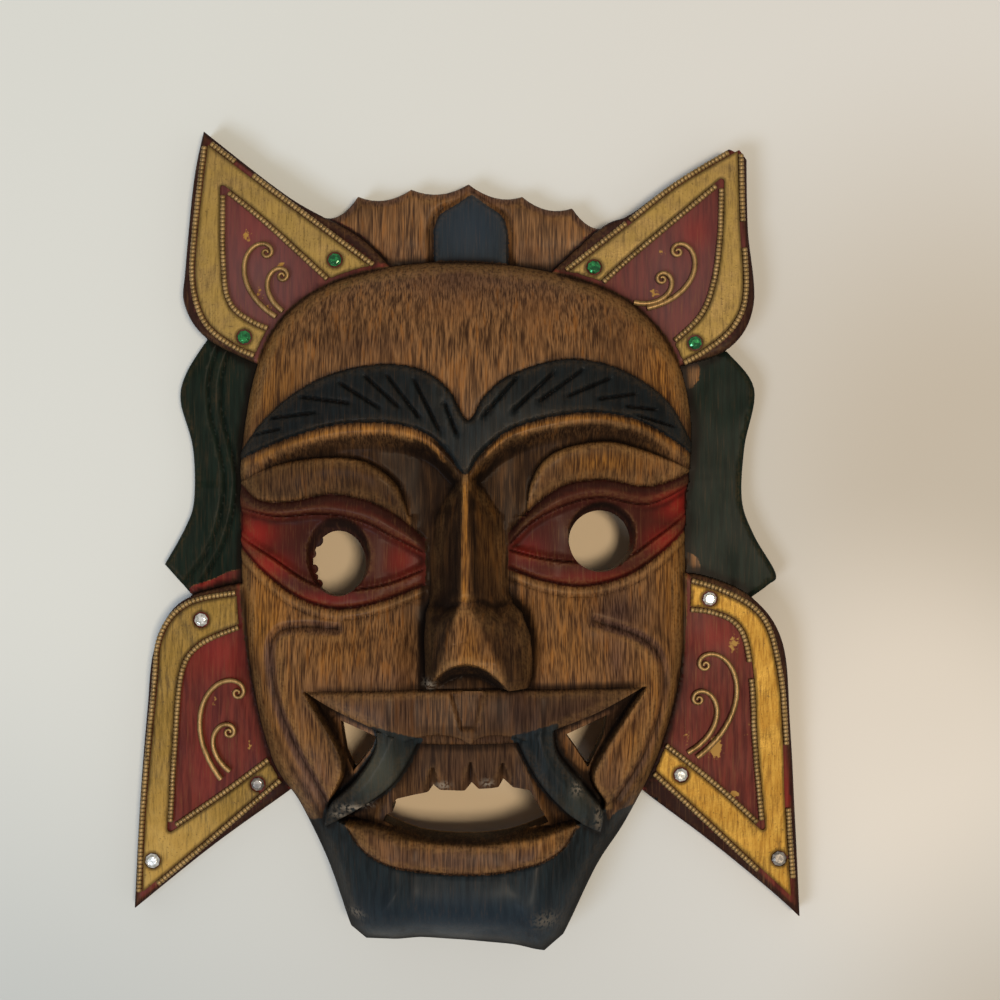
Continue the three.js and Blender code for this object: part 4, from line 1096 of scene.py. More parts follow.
# %% Spots of paint, dirt and glue
BRIGHT_RED_SPOTS = [
    ((-68, 2), (7, 5), 1.0), ((-63, -8), (8, 4), 0.9), ((-45, -18), (12, 2), 0.5), ((68, 12), (7, 5), 1.0),
    ((64, 0), (7, 4), 0.8), ((-20, -6), (5, 5), 0.5), ((20, -3), (5, 4), 0.4), ((104.5, -78), (3, 10), 0.9),
    ((-83, -14), (5, 3), 0.6), ((-68, 102), (8, 10), 0.2), ((40, -11), (14, 2), 0.4), ((-80, -36), (8, 8), 0.45),
    ((74, 99), (5, 6), 0.4), ((80, -31), (7, 6), 0.4), ((-70, 98), (3, 6), 0.3), ((-84, -70), (3, 14), 0.25),
]
GLUE_SPOTS = [
    ((-70.6, 98), (0.9, 2.0), 1.0), ((-66.4, 80), (0.9, 3.5), 0.6), ((-59.5, 88.6), (1.0, 1.4), 0.8),
    ((-63.5, 74), (1.2, 2.4), 0.6), ((63.2, 92.4), (1.4, 0.9), 0.6), ((60.6, 79.6), (2.2, 1.0), 0.7),
    ((80.4, -67), (1.9, 3.8), 1.0), ((86.4, -51.6), (0.6, 3.2), 0.6), ((86, -82), (2.6, 1.3), 0.8),
    ((90.6, -60), (0.7, 5), 0.55), ((86, -33), (1.8, 3.6), 0.6), ((-80.5, -52), (0.8, 2.4), 0.6),
    ((-69.4, -66), (0.9, 3.0), 0.5), ((71, -63), (0.9, 3.2), 0.6),
]
PALE_SPOTS = [
    ((-10.6, -43.6), (1.4, 1.5), 0.9), ((-34, -82), (4.5, 0.8), 0.8), ((-39, -84.5), (2, 0.7), 0.6),
    ((34.6, -76), (1.4, 1.8), 0.6), ((41.5, -85.6), (1.0, 3.0), 0.6), ((-6.8, -75.6), (2.0, 0.9), 0.8),
    ((6.9, -74.8), (1.7, 0.9), 0.8), ((-34, -116), (2.4, 1.2), 0.5), ((25, -117), (3, 2.2), 0.35),
]
# Cool spots: cooler paint on the plaque and the upper ears, and a lighter bluish band low on the chin, which is a
# painted sheen
COOL_SPOTS = [
    ((1, 100), (14, 14), 1.0), ((0, -118), (45, 12), 0.8), ((-68, 86), (24, 34), 0.6), ((68, 84), (24, 32), 0.45)
]
FADED_SPOTS = [((-27, -70), (8, 9), 0.9), ((35, -80), (5, 6), 0.4)]
EYE_FIELDS = [((-41, -3), (15, 13), 0.85), ((42, 3), (15, 13), 0.75)]
print(len(GLUE_SPOTS), "drops of old glue,", len(PALE_SPOTS), "pale rubbed spots")

# %% Tones that follow the brows, lids and nose, with painted highlights and shade
edge_shade = ramp(face_depth, 6, 0.5) * ramp(face_depth, -1.5, 0.2)
below_brow = -from_line(plan_x, plan_y, brow_bottom)
under_brow = (face_depth > 2) * ramp(np.abs(plan_x - NOSE_X), 3, 9)
right = plan_x > 0
roll_at, roll_wide = np.where(right, 1.4, 2.1), np.where(right, 0.65, 1.0)  # the painted highlight along the roll under each brow
roll_highlight = np.exp(-(((below_brow - roll_at) / roll_wide) ** 2)) * under_brow
# Painted shade in the hollow under each brow, lighter over the lids
orbit_shade = ramp(below_brow - roll_at, 0.9, 2.6) * ramp(plan_y, -6, 4) * (face_depth > 2)
lid_share = np.zeros(plan_x.shape)
lash_dark = np.zeros(plan_x.shape)
for eye, side in zip(EYES, (-1, 1)):
    on_side = ramp(side * plan_x, 15, 19)
    lid_share = np.maximum(lid_share, on_side * ramp(from_line(plan_x, plan_y, eye["arch"]), 0.2, -1.0))
    off = -from_line(plan_x, plan_y, eye["top"])
    lash_dark = np.maximum(lash_dark, (side * plan_x > 12) * ramp(off, -0.3, 0.4) * ramp(off, 3.4, 2.2))
orbit_shade = orbit_shade * mix(0.85, 0.3, lid_share) * ramp(np.abs(plan_x), 72, 60) * ramp(plan_y, 46, 40)
# Painted highlight along the nose's ridge
ridge_highlight = np.exp(-(((plan_x - NOSE_X) / 1.1) ** 2)) * ramp(plan_y, -18.5, -17) * ramp(plan_y, 21, 16)
shade_planes = np.max([share * ramp(depth_of_corners(loop), -0.7, 0.9) for loop, share in SHADE_PLANES], axis=0)
# gold: golden rubbed wood, and the painted highlights along the roll under each brow and the nose's ridge
gold = np.maximum.reduce([spots(GOLD_SPOTS), 0.75 * roll_highlight, ridge_highlight])
# dark: a few real marks, and painted shade along the face's edges, in the orbits and in the planes listed above
dark = np.maximum.reduce([spots(DARK_SPOTS), 0.7 * edge_shade, orbit_shade, shade_planes])
dark = np.where(roll_highlight > 0.5, np.minimum(dark, 0.25), dark)
dark = np.where(ridge_highlight > 0.5, 0.2, dark)
fold_away = np.min([distance(plan_x, plan_y, fold) for fold in CHEEK_FOLDS[:2]], axis=0)
crest_edge = ramp(depth_of_corners(CREST), 3.4, 1.4) * (plan_y > 84) * (face_depth < 0)
mauve = np.maximum.reduce([spots(MAUVE_SPOTS), ramp(fold_away, 2.6, 1.4), 0.8 * crest_edge])
print("golden corners:", int((gold > 0.5).sum()), "dark corners:", int((dark > 0.5).sum()))


# %% Darker paint, and painted shade round the eye holes and the chin's sides
def line_of(ear, place, run):
    return curve_through(ear[place][run])


def loop_of(ear, place):
    return np.vstack([line_of(ear, place, "straight"), line_of(ear, place, "curved")[:0:-1]])


ear_margin = np.zeros(plan_x.shape)  # outside the outer wires the red is darkened almost to black
for ear in EARS.values():
    outside = ramp(depth_of_corners(on_ear(ear, loop_of(ear, "outer"))[:, :2]), 0, -0.8)
    outside = outside * (depth_of_corners(ear["outline"]) > -1)
    ear_margin = np.maximum(ear_margin, outside * (face_depth < -1))
eye_fields = spots(EYE_FIELDS) * ramp(eye_red, 0, 2)
# Painted shade round the upper half of each hole
for eye in EYES:  # the paint is dark round the upper half of each hole
    (_, cy), _ = eye["front"]
    ring = ramp(ellipse_depth(plan_x, plan_y, eye["front"]), -1.0, 0.6) * ramp(plan_y, cy - 6, cy + 3)
    eye_fields = np.maximum(eye_fields, 0.95 * ring)
# Painted shade along the chin's sides, near the face's edge
chin_side_shade = 0.85 * ramp(face_depth, 7, 1) * ramp(face_depth, -1, 0.2) * ramp(plan_y, -84, -90)
brow_smoke = 0.6 * ramp(np.minimum(brows, face_depth), 0, 1) * mix(1, 0.6, ramp(np.abs(plan_x), 30, 0))
tips = spots([(ear["wood"]["straight"][0], (6, 6), 1.0) for ear in EARS.values()])
tips = np.where(tips > 0.5, tips, 0)
lashes = 0.75 * lash_dark * ramp(eye_red, -1, 0)
TONES = {
    "cool": spots(COOL_SPOTS),
    "faded": spots(FADED_SPOTS),
    "gold": gold,
    "mauve": mauve,
    "dark": dark,
    "glue": spots(GLUE_SPOTS),
    "pale": spots(PALE_SPOTS),
    "eye_share": ramp(np.minimum(eye_red, face_depth), -1, 0.5),
    "smoke": np.maximum.reduce([0.95 * tips, lashes, eye_fields, 0.95 * ear_margin, brow_smoke, chin_side_shade]),
    "bright_red": spots(BRIGHT_RED_SPOTS),
}
for name, share in TONES.items():
    store(mask, name, share)
print("tones stored:", *TONES)


# %% Recesses and rubbed heights
def softened(x, y, z, radius, pitch=0.6):
    """The height averaged round each place with a soft weight of that radius, on squares of that pitch."""
    column = np.round((x - x.min()) / pitch).astype(int)
    row = np.round((y - y.min()) / pitch).astype(int)
    shape = (row.max() + 1, column.max() + 1)
    total, count = np.zeros(shape), np.zeros(shape)
    np.add.at(total, (row, column), z)
    np.add.at(count, (row, column), 1)
    reach = np.arange(-math.ceil(2.5 * radius / pitch), math.ceil(2.5 * radius / pitch) + 1)
    weights = np.exp(-((reach * pitch / radius) ** 2))

    def blur(grid):
        rows = np.apply_along_axis(np.convolve, 0, grid, weights, "same")
        return np.apply_along_axis(np.convolve, 1, rows, weights, "same")

    filled = blur(np.where(count > 0, total / np.maximum(count, 1), 0))
    mean = filled / np.maximum(blur((count > 0).astype(float)), 1e-9)
    u, v = (x - x.min()) / pitch, (y - y.min()) / pitch
    left, foot = np.minimum(u.astype(int), shape[1] - 2), np.minimum(v.astype(int), shape[0] - 2)
    lower = mix(mean[foot, left], mean[foot, left + 1], u - left)
    upper = mix(mean[foot + 1, left], mean[foot + 1, left + 1], u - left)
    return mix(lower, upper, v - foot)


CLEAR_OF_BACK = 2.5  # a corner this far above the back belongs to the front
front = plan_z > under_side(plan_x, plan_y, face_depth) + CLEAR_OF_BACK
standing = np.zeros(plan_x.shape)
broad = np.zeros(plan_x.shape)
fx, fy, fz = plan_x[front], plan_y[front], plan_z[front]
standing[front] = fz - softened(fx, fy, fz, 1.6)
broad[front] = fz - softened(fx, fy, fz, 5)
from_edge = wood_depth(plan_x, plan_y)
lip_bevel = (depth_of_corners(LIP) > -0.5) * ramp(LIP_ARCS(plan_x) - plan_y, -0.4, 0.2)
# recess: how far a place lies below its surroundings, drawn as dark stain and painted shade. rubbed: how far it
# stands above them, worn lighter.
recess = ramp(-standing, 0.05, 0.9) * 0.75 + ramp(-broad, 0.6, 5) * 0.35
store(mask, "recess", recess * ramp(from_edge, 0.3, 1.6))
rubbed = ramp(standing, 0.12, 0.7) * (1 - 0.8 * lip_bevel) * (1 - 0.8 * np.maximum(shade_planes, chin_side_shade))
store(mask, "rubbed", rubbed * ramp(from_edge, 0.0, 1.0))
store(mask, "raw", read(mask.data.vertices, "normal", 3)[:, 2] < 0)  # the corners that look down at the table
place_corners(mask, (in_millimetres + [*SHIFT, 0]) * MM)
bpy.ops.object.shade_smooth_by_angle(angle=math.radians(50))
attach(mask, "root")
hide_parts("carved_mask")
print("front corners:", int(front.sum()), "of", len(plan_x))

# %% [markdown]
# ## Colours and material nodes
#
# Colours are written as a maker would pick them from a card, as sRGB hex, and one function turns them to
# the linear values that light works with. One helper adds a node with its settings and its links.

# %% Material helpers
def linear(hex_colour, alpha=1.0):
    channels = [int(hex_colour[i:i + 2], 16) / 255 for i in (1, 3, 5)]
    return (*(c / 12.92 if c <= 0.04045 else ((c + 0.055) / 1.055) ** 2.4 for c in channels), alpha)


def node(tree, kind, inputs=None, output=0, **settings):
    """Adds a node, sets its properties, gives each named input a value or a link, and returns an output."""
    made = tree.nodes.new(kind)
    for name, value in settings.items():
        setattr(made, name, value)
    for socket, value in (inputs or {}).items():
        if isinstance(value, bpy.types.NodeSocket):
            tree.links.new(value, made.inputs[socket])
        else:
            made.inputs[socket].default_value = value
    return made.outputs[output]


def new_material(name, **values):
    """A bare material: itself, its node tree and its shader, whose sockets are named with _ for a space."""
    material = bpy.data.materials.new(name)
    material.use_nodes = True
    shader = material.node_tree.nodes["Principled BSDF"]
    for socket, value in values.items():
        shader.inputs[socket.replace("_", " ")].default_value = value
    return material, material.node_tree, shader


def drive(tree, shader, **values):
    """Links what was worked out to the shader's sockets, named in the same way."""
    for socket, value in values.items():
        tree.links.new(value, shader.inputs[socket.replace("_", " ")])


def give(piece, material):
    piece.data.materials.clear()
    piece.data.materials.append(material)


print("a middle grey card in linear light:", [round(c, 3) for c in linear("#808080")[:3]])

# %% Layers of colour
FACTOR, FIRST, SECOND, MIXED = 0, 6, 7, 2  # sockets of a Mix node that mixes colours


def patterns_of(tree, sizes):
    """Cloudy patterns by name, from each one's real width in mm, stretch along the grain, detail and roughness."""
    where = node(tree, "ShaderNodeTexCoord", output="Object")
    made = {}
    for name, (width, stretch, detail, roughness) in sizes.items():
        across = MM * width  # the fibres are also deeper than wide, so that a slope doesn't cut them short
        scale = [1 / across, 1 / (across * stretch), 1 / (across * stretch**0.5)]
        placed = node(tree, "ShaderNodeMapping", {"Vector": where, "Scale": scale})
        inputs = {"Vector": placed, "Scale": 1.0, "Detail": detail, "Roughness": roughness}
        made[name] = node(tree, "ShaderNodeTexNoise", inputs)
    return made


def share_from(tree, *guides):
    """Multiplies guides into one share.

    A guide is a value, or (value, low, high, share at low, share at high).
    """
    share = None
    for guide in guides:
        if isinstance(guide, tuple):
            names = ("Value", "From Min", "From Max", "To Min", "To Max")
            guide = node(tree, "ShaderNodeMapRange", dict(zip(names, guide)), interpolation_type="SMOOTHSTEP")
        if share is not None:
            guide = node(tree, "ShaderNodeMath", {0: share, 1: guide}, operation="MULTIPLY")
        share = guide
    return share


def lay(tree, under, tone, *guides):
    """Lays a tone over what is under it, as thickly as the guides say."""
    over, base = (linear(t) if isinstance(t, str) else t for t in (tone, under))
    inputs = {FACTOR: share_from(tree, *guides), FIRST: base, SECOND: over}
    return node(tree, "ShaderNodeMix", inputs, MIXED, data_type="RGBA")


# %% [markdown]
# ## Stained and painted hardwood
#
# The block is a pale close-grained wood, stained brown, waxed and rubbed back. The eye sees fine upright
# grain, dark stain and painted shade in every hollow, painted shade on the nose's flanks, in the orbits and round
# the mouth, gold-brown where hands and cloth have rubbed the high places, painted highlights along the roll under
# each brow and the ridge of the nose, and thin matt paint over the same grain on ears, locks, brows and chin. The
# back is raw wood. The real fibres are about a tenth of a millimetre wide, too fine to show, so they are drawn
# between four and five times as coarse.

# %% The stain, with painted highlights and shade
WOOD_PATTERNS = {  # width in mm, stretch along the grain, detail, roughness
    "fibre": (0.45, 22.0, 2.0, 0.6),
    "streaks": (1.5, 10.0, 3.0, 0.6),
    "specks": (1.1, 1.0, 2.0, 0.5),
    "clouds": (14, 1.6, 3.0, 0.5),
    "stains": (32, 1.0, 2.0, 0.5),
}
STORED = ("red_mm", "green_mm", "blue_mm", "gold", "mauve", "dark", "glue", "pale", "eye_share", "smoke",
          "bright_red", "cool", "faded", "recess", "rubbed", "raw")
wood, tree, shader = new_material(
    "waxed_stained_hardwood_with_worn_paint", Specular_IOR_Level=0.08, Coat_Weight=0.035, Coat_Roughness=0.3
)
fibre, streaks, specks, clouds, stains = patterns_of(tree, WOOD_PATTERNS).values()
at = {name: node(tree, "ShaderNodeAttribute", output="Fac", attribute_name=name) for name in STORED}
colour = lay(tree, "#3a2517", "#8b6540", (fibre, 0.3, 0.7, 0.0, 1.0))
golden = lay(tree, "#57320d", "#a6702b", (fibre, 0.35, 0.62, 0.0, 1.0))
purple = lay(tree, "#33211c", "#5f463c", (fibre, 0.35, 0.65, 0.0, 1.0))
raw = lay(tree, "#8a6238", "#b58d5c", (fibre, 0.3, 0.7, 0.0, 1.0))  # the back was never stained or painted
raw = lay(tree, raw, "#7c5430", (clouds, 0.48, 0.7, 0.0, 0.5))
for tone, *guides in (
    ("#2b1a0e", (streaks, 0.54, 0.3, 0.0, 0.6)),
    ("#8f5b26", (streaks, 0.53, 0.7, 0.0, 0.5)),
    ("#7c5430", (clouds, 0.48, 0.7, 0.0, 0.4)),
    ("#3b2718", (stains, 0.5, 0.3, 0.0, 0.45)),
    # golden rubbed wood, and painted highlights along the roll under each brow and the nose's ridge
    (golden, at["gold"], (streaks, 0.3, 0.6, 0.35, 1.0)),
    (purple, at["mauve"], (clouds, 0.35, 0.6, 0.4, 0.9)),
    # painted shade for the most part, and a few real dark marks
    ("#1a0e06", at["dark"], (streaks, 0.35, 0.7, 0.97, 0.8)),
):
    colour = lay(tree, colour, tone, *guides)
print("stain:", len(tree.nodes), "nodes")

# %% The paint
# Thin matt paint: its edge is ragged by the brush, and on the raised fibres some wood shows through.
ragged = node(tree, "ShaderNodeMath", {0: specks, 1: 1.4, 2: -0.7}, operation="MULTIPLY_ADD")
PAINTS = {  # two tones of the brush strokes, the tone on the fibres, and how thin the paint is on them
    "red_mm": ("#451512", "#6b2c22", "#582019", 0.25),
    "green_mm": ("#08140e", "#13211a", "#0e1912", 0.08),
    "blue_mm": ("#0e1213", "#20292d", "#171d1f", 0.06),
}
# Over the paint: a cool tone, which makes the plaque and the upper ears cooler and lays a painted bluish sheen low
# on the chin, and a dark tone, which darkens the paint and lays painted shade round the eye holes and along the
# chin's sides.
BRUSHED = {  # tones laid over the strokes, each with its guide and how much of it
    "red_mm": (("#6d5557", "cool", 0.8), ("#411a12", "eye_share", 0.85), ("#86201a", "bright_red", 1.0),
               ("#24130f", "smoke", 1.0)),
    "green_mm": (),
    "blue_mm": (("#232f3b", "cool", 0.8), ("#46473d", "faded", 0.75), ("#0a0c0c", "smoke", 1.0)),
}
for name, (stroke, light, on_fibre, thin) in PAINTS.items():
    paint = lay(tree, stroke, light, (streaks, 0.35, 0.65, 0.0, 1.0))
    paint = lay(tree, paint, on_fibre, (fibre, 0.3, 0.7, 0.0, 0.7))
    for tone, guide, most in BRUSHED[name]:
        paint = lay(tree, paint, tone, at[guide], most)
    edge = node(tree, "ShaderNodeMath", {0: at[name], 1: ragged}, operation="ADD")
    colour = lay(tree, colour, paint, (edge, -0.25, 0.25, 0.0, 1.0), (fibre, 0.75, 0.5, 1 - thin, 1.0))
print("stain and", len(PAINTS), "paints:", len(tree.nodes), "nodes")

# %% Painted shade in the recesses, wear and gloss
glue = node(tree, "ShaderNodeMath", {0: ragged, 1: 0.7, 2: at["glue"]}, operation="MULTIPLY_ADD")
colour = lay(tree, colour, "#a07a3c", (glue, 0.3, 0.5, 0.0, 1.0))
# Dark stain and painted shade in the recesses
colour = lay(tree, colour, "#100906", at["recess"], 0.85)
bare = at["red_mm"]
for name in ("green_mm", "blue_mm"):
    bare = node(tree, "ShaderNodeMath", {0: bare, 1: at[name]}, operation="MAXIMUM")
worn = lay(tree, colour, "#a37d4c", 0.5)
rubbed = (  # paint is rubbed less than bare stain, and the blue-black least
    at["rubbed"],
    (bare, -0.4, 0.3, 1.0, 0.35),
    (at["blue_mm"], -0.4, 0.3, 1.0, 0.4),
    (specks, 0.35, 0.6, 0.15, 0.6),
)
colour = lay(tree, colour, worn, *rubbed)
colour = lay(tree, colour, "#8f8577", at["pale"], (specks, 0.4, 0.55, 0.0, 1.0))
colour = lay(tree, colour, raw, (at["raw"], 0.8, 1.0, 0.0, 1.0))  # stain and paint stop just short of the back
matt = (  # guides that multiply the roughness
    (at["green_mm"], -0.3, 0.3, 1.0, 1.45),
    (at["dark"], 0.3, 0.9, 1.0, 1.6),
    (at["recess"], 0.0, 1.0, 1.0, 1.4),
    (at["smoke"], 0.2, 0.9, 1.0, 1.3),
)
gloss = share_from(tree, (clouds, 0.3, 0.7, 0.42, 0.6), *matt)
raised = node(tree, "ShaderNodeBump", {"Height": streaks, "Strength": 0.5, "Distance": 0.13 * MM})
raised = node(tree, "ShaderNodeBump", {"Height": fibre, "Strength": 0.5, "Distance": 0.15 * MM, "Normal": raised})
drive(tree, shader, Base_Color=colour, Roughness=gloss, Normal=raised)
give(mask, wood)
print("wood material:", len(tree.nodes), "nodes")

# %% [markdown]
# ## Sheet brass bands
#
# Each band is thin sheet, cut with shears, pressed down on the ear between the two beaded wires and punched
# for the stones. It is cut from a grid in the same way as the wood. The sheet isn't quite flat: it is
# dented and creased by hand pressing, and its end beside the face is torn rather than cut.

# %% Bands
SEAT = 0.3  # clearance under and beside every piece of trim
BAND_THICK = 0.6
BEAD_RADIUS = 0.7
STONE_HOLE = 2.6  # radius of the punched holes
FACE_CLEAR = 1.0  # the trim stops this far from the face
BAND_CELL = 0.6
DENT, SMALL_DENT = (0.14, 7.0), (0.05, 2.2)  # height and width
EDGE_FALL = 0.12  # how far the shears drew the edge down


def sheet_noise(x, y, size, seed=0.0):
    return np.array([noise.noise((a / size, b / size, seed)) for a, b in zip(x, y)])


def band_depth(ear, x, y):
    """How far inside the band's sheet each place of the flat drawing is."""
    beside_wire = BEAD_RADIUS + SEAT
    depth = np.minimum(
        depth_in(x, y, loop_of(ear, "outer")) - beside_wire,
        -depth_in(x, y, loop_of(ear, "inner")) - beside_wire,
    )
    torn = 0.5 * np.abs(sheet_noise(x, y, 1.6, 3.0))
    depth = np.minimum(depth, -depth_in(x, y, FACE) - FACE_CLEAR - torn)
    for sx, sy in ear["stones"]:
        depth = np.minimum(depth, np.hypot(x - sx, y - sy) - STONE_HOLE)
    if "blunt" in ear:
        depth = np.minimum(depth, -depth_in(x, y, np.array(ear["blunt"], float)))
    return depth


def to_frame(ear, places):
    """Corners drawn flat with their lift as z, laid on the ear and given in metres."""
    laid = on_ear(ear, places[:, :2], places[:, 2])
    return (laid + [*SHIFT, 0]) * MM


# %% Cut and bend the bands
bands = []
for name, ear in EARS.items():
    points = loop_of(ear, "outer")
    band = start_grid(f"{name}_brass_band", points.min(0) - 1, points.max(0) + 1, BAND_CELL)
    delete_outside(band, lambda x, y: band_depth(ear, x, y), -BAND_CELL)
    fit_outline(band, lambda x, y: band_depth(ear, x, y), BAND_CELL)
    to_slab(band, lambda x, y: SEAT + BAND_THICK + 0 * x, lambda x, y: SEAT + 0 * x)
    places = corners(band)
    x, y, z = places.T
    depth = band_depth(ear, x, y)
    dents = DENT[0] * sheet_noise(x, y, DENT[1]) + SMALL_DENT[0] * sheet_noise(x, y, SMALL_DENT[1], 5.0)
    dents = dents * ramp(depth, 0, 1.5)
    top = z > SEAT + BAND_THICK / 2
    places[:, 2] = z + np.where(top, dents - EDGE_FALL * ramp(depth, 0.8, 0), 0)
    place_corners(band, to_frame(ear, places))
    store(band, "tarnish", 0.9 * ramp(depth, 1.1, 0.1))
    out, _ = out_and_side(ear)
    store(band, "polish", ramp((np.column_stack([x, y]) - ear["hinge"]) @ out, 28, 58))
    bpy.ops.object.shade_smooth_by_angle(angle=math.radians(40))
    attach(band, "root")
    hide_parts(f"{name}_band")
    bands.append(band)
    print(band.name, len(band.data.polygons), "faces")

# %% [markdown]
# ## Beaded wire
#
# The beaded wire is drawn and then rolled between grooved dies, so that it is a string of round beads with
# narrow waists. One bead is a ring drawn out along its length. An Array modifier repeats it, and a Curve
# modifier bends the straight string along its line on the ear.

# %% Beaded wires
BEAD_PITCH = 1.3
BEAD_SPREAD = 1.28  # how much wider than tall the rolled beads are
BEAD_SIDES = 8
BEAD_PROFILE = [(0.0, 0.72), (0.2, 0.96), (0.5, 1.0), (0.8, 0.96), (1.0, 0.72)]  # share of pitch, share of radius
FINE = 0.4  # spacing along a line, in millimetres
MITRE = 2.3  # where a wire stops short of the tip of its corner


def evenly(line, spacing):
    """The same line with points at even spacing."""
    steps = np.hypot(*np.diff(line, axis=0).T)
    along = np.concatenate([[0], np.cumsum(steps)])
    count = max(2, round(along[-1] / spacing))
    wanted = np.linspace(0, along[-1], count + 1)
    return np.column_stack([np.interp(wanted, along, line[:, k]) for k in (0, 1)])


def stretch(line, start, end):
    """The part of a line between two shares of its length."""
    whole = evenly(line, 0.1)
    last = len(whole) - 1
    return evenly(whole[round(start * last):round(end * last) + 1], 1.0)


# %% One bead, and a string of them
def one_bead(name, pitch):
    """A ring of corners drawn out along x through the bead's profile, open at both ends."""
    bpy.ops.object.select_all(action="DESELECT")
    waist = BEAD_RADIUS * BEAD_PROFILE[0][1]
    bpy.ops.mesh.primitive_circle_add(vertices=BEAD_SIDES, radius=waist, rotation=(0, math.pi / 2, 0))
    bpy.ops.object.transform_apply(location=True, rotation=True, scale=True)
    piece = bpy.context.object
    piece.name = piece.data.name = name
    to_edit(piece, "VERT")
    bpy.ops.mesh.select_all(action="SELECT")
    for (before, old), (share, size) in zip(BEAD_PROFILE, BEAD_PROFILE[1:]):
        step = (share - before) * pitch
        bpy.ops.mesh.extrude_region_move(TRANSFORM_OT_translate={"value": (step, 0, 0)})
        bpy.ops.transform.resize(value=(1, size / old, size / old))
    to_object()
    return piece


def put(name, data):
    """A new object in the scene that shows the data."""
    made = bpy.data.objects.new(name, data)
    bpy.context.scene.collection.objects.link(made)
    return made


def flat_curve(points, name="path"):
    data = bpy.data.curves.new(name, "CURVE")
    data.dimensions = "2D"
    spline = data.splines.new("POLY")
    spline.points.add(len(points) - 1)
    for point, place in zip(spline.points, points):
        point.co = (place[0], place[1], 0, 1)
    return put(name, data)


def beaded_wire(name, ear, points):
    """Beads in a row, bent along the points, closed at both ends and laid on the ear."""
    length = np.hypot(*np.diff(points, axis=0).T).sum()
    count = round(length / BEAD_PITCH)
    wire = one_bead(name, length / count)
    merging = {"use_merge_vertices": True, "merge_threshold": 0.02}
    apply_modifier(wire, "ARRAY", count=count, relative_offset_displace=(1, 0, 0), **merging)
    string = corners(wire)
    place_corners(wire, string * [1, BEAD_SPREAD, 1])
    waist = np.hypot(string[:, 1], string[:, 2]) < BEAD_RADIUS * 0.8
    curve = flat_curve(points)
    apply_modifier(wire, "CURVE", object=curve, deform_axis="POS_X")
    bpy.data.objects.remove(curve)
    to_edit(wire, "VERT")
    bpy.ops.mesh.select_all(action="DESELECT")
    bpy.ops.mesh.select_non_manifold()
    bpy.ops.mesh.fill_holes(sides=BEAD_SIDES)
    turn_outward()
    places = corners(wire)
    places[:, 2] += SEAT + BEAD_RADIUS
    place_corners(wire, to_frame(ear, places))
    store(wire, "tarnish", np.where(waist, 1.0, 0.0))
    bpy.ops.object.shade_smooth_by_angle(angle=math.radians(60))
    return wire


# %% Lay the wires
wires = []
for name, ear in EARS.items():
    for place in ("outer", "inner"):
        for run in ("straight", "curved"):
            line = evenly(line_of(ear, place, run), FINE)
            line = line[depth_in(line[:, 0], line[:, 1], FACE) < -FACE_CLEAR]
            length = len(line) * FINE
            for i, (start, end) in enumerate(ear["whole"].get(f"{place}_{run}", [(0, 1)])):
                points = stretch(line, max(start, MITRE / length), end)
                ending = f"_{i + 1}" if i else ""
                wire = beaded_wire(f"{name}_beaded_{place}_{run}{ending}", ear, points)
                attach(wire, "root")
                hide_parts(f"{name}_bead_{place}_{run}{ending}")
                wires.append(wire)
print(len(wires), "wires,", sum(len(wire.data.polygons) for wire in wires), "faces")

# %% [markdown]
# ## Wire scrolls
#
# A scroll is plain round wire, filed thinner to one end and wound up tightly from that end with pliers. The
# foot stays long and runs down to the face. Its line is a spiral whose radius falls away quickly at first
# and slowly inside the eye, drawn as a curve with a round bevel and then turned into a mesh.

# %% Scrolls
SCROLL_RADIUS = 0.92
SCROLL_THIN = 0.48  # share of the radius left at the inner end
SCROLL_STEPS = 72
SCROLL_TURN = 650  # degrees from the foot to the inner end
SCROLL_CURL = 60  # degrees over which the long foot curls in
SCROLL_EYE = 2.45  # radius where the eye starts
SCROLL_CLOSE = 0.00125  # share of the eye's radius that each degree takes off, so that the turns just touch


def scroll_path(eye, foot, way):
    """The scroll's line from its foot inward. Way is 1 for a turn to the left and -1 for one to the right."""
    eye, foot = np.array(eye), np.array(foot)
    start = math.atan2(*(foot - eye)[::-1])
    length = np.hypot(*(foot - eye))
    swept = np.linspace(0, 1, SCROLL_STEPS + 1) ** 1.25 * SCROLL_TURN
    radius = SCROLL_EYE * (1 - SCROLL_CLOSE * swept) + (length - SCROLL_EYE) * np.exp(-swept / SCROLL_CURL)
    angle = start + way * np.radians(swept)
    return eye + radius[:, None] * np.column_stack([np.cos(angle), np.sin(angle)])


def scroll(name, ear, eye, foot, way):
    path = scroll_path(eye, foot, way)
    curve = flat_curve(path, name)
    curve.data.dimensions = "3D"
    curve.data.bevel_depth, curve.data.bevel_resolution, curve.data.use_fill_caps = SCROLL_RADIUS, 2, True
    for share, point in zip(np.linspace(0, 1, len(path)), curve.data.splines[0].points):
        point.radius = mix(1, SCROLL_THIN, share)
    pick(curve)
    bpy.ops.object.convert(target="MESH")
    piece = bpy.context.object
    to_edit(piece, "VERT")
    bpy.ops.mesh.select_all(action="SELECT")
    bpy.ops.mesh.remove_doubles(threshold=0.01)
    turn_outward()
    places = corners(piece)
    store(piece, "tarnish", 0.8 * ramp(-places[:, 2], -0.1, SCROLL_RADIUS))
    places[:, 2] += SEAT + SCROLL_RADIUS
    place_corners(piece, to_frame(ear, places))
    bpy.ops.object.shade_smooth_by_angle(angle=math.radians(50))
    return piece


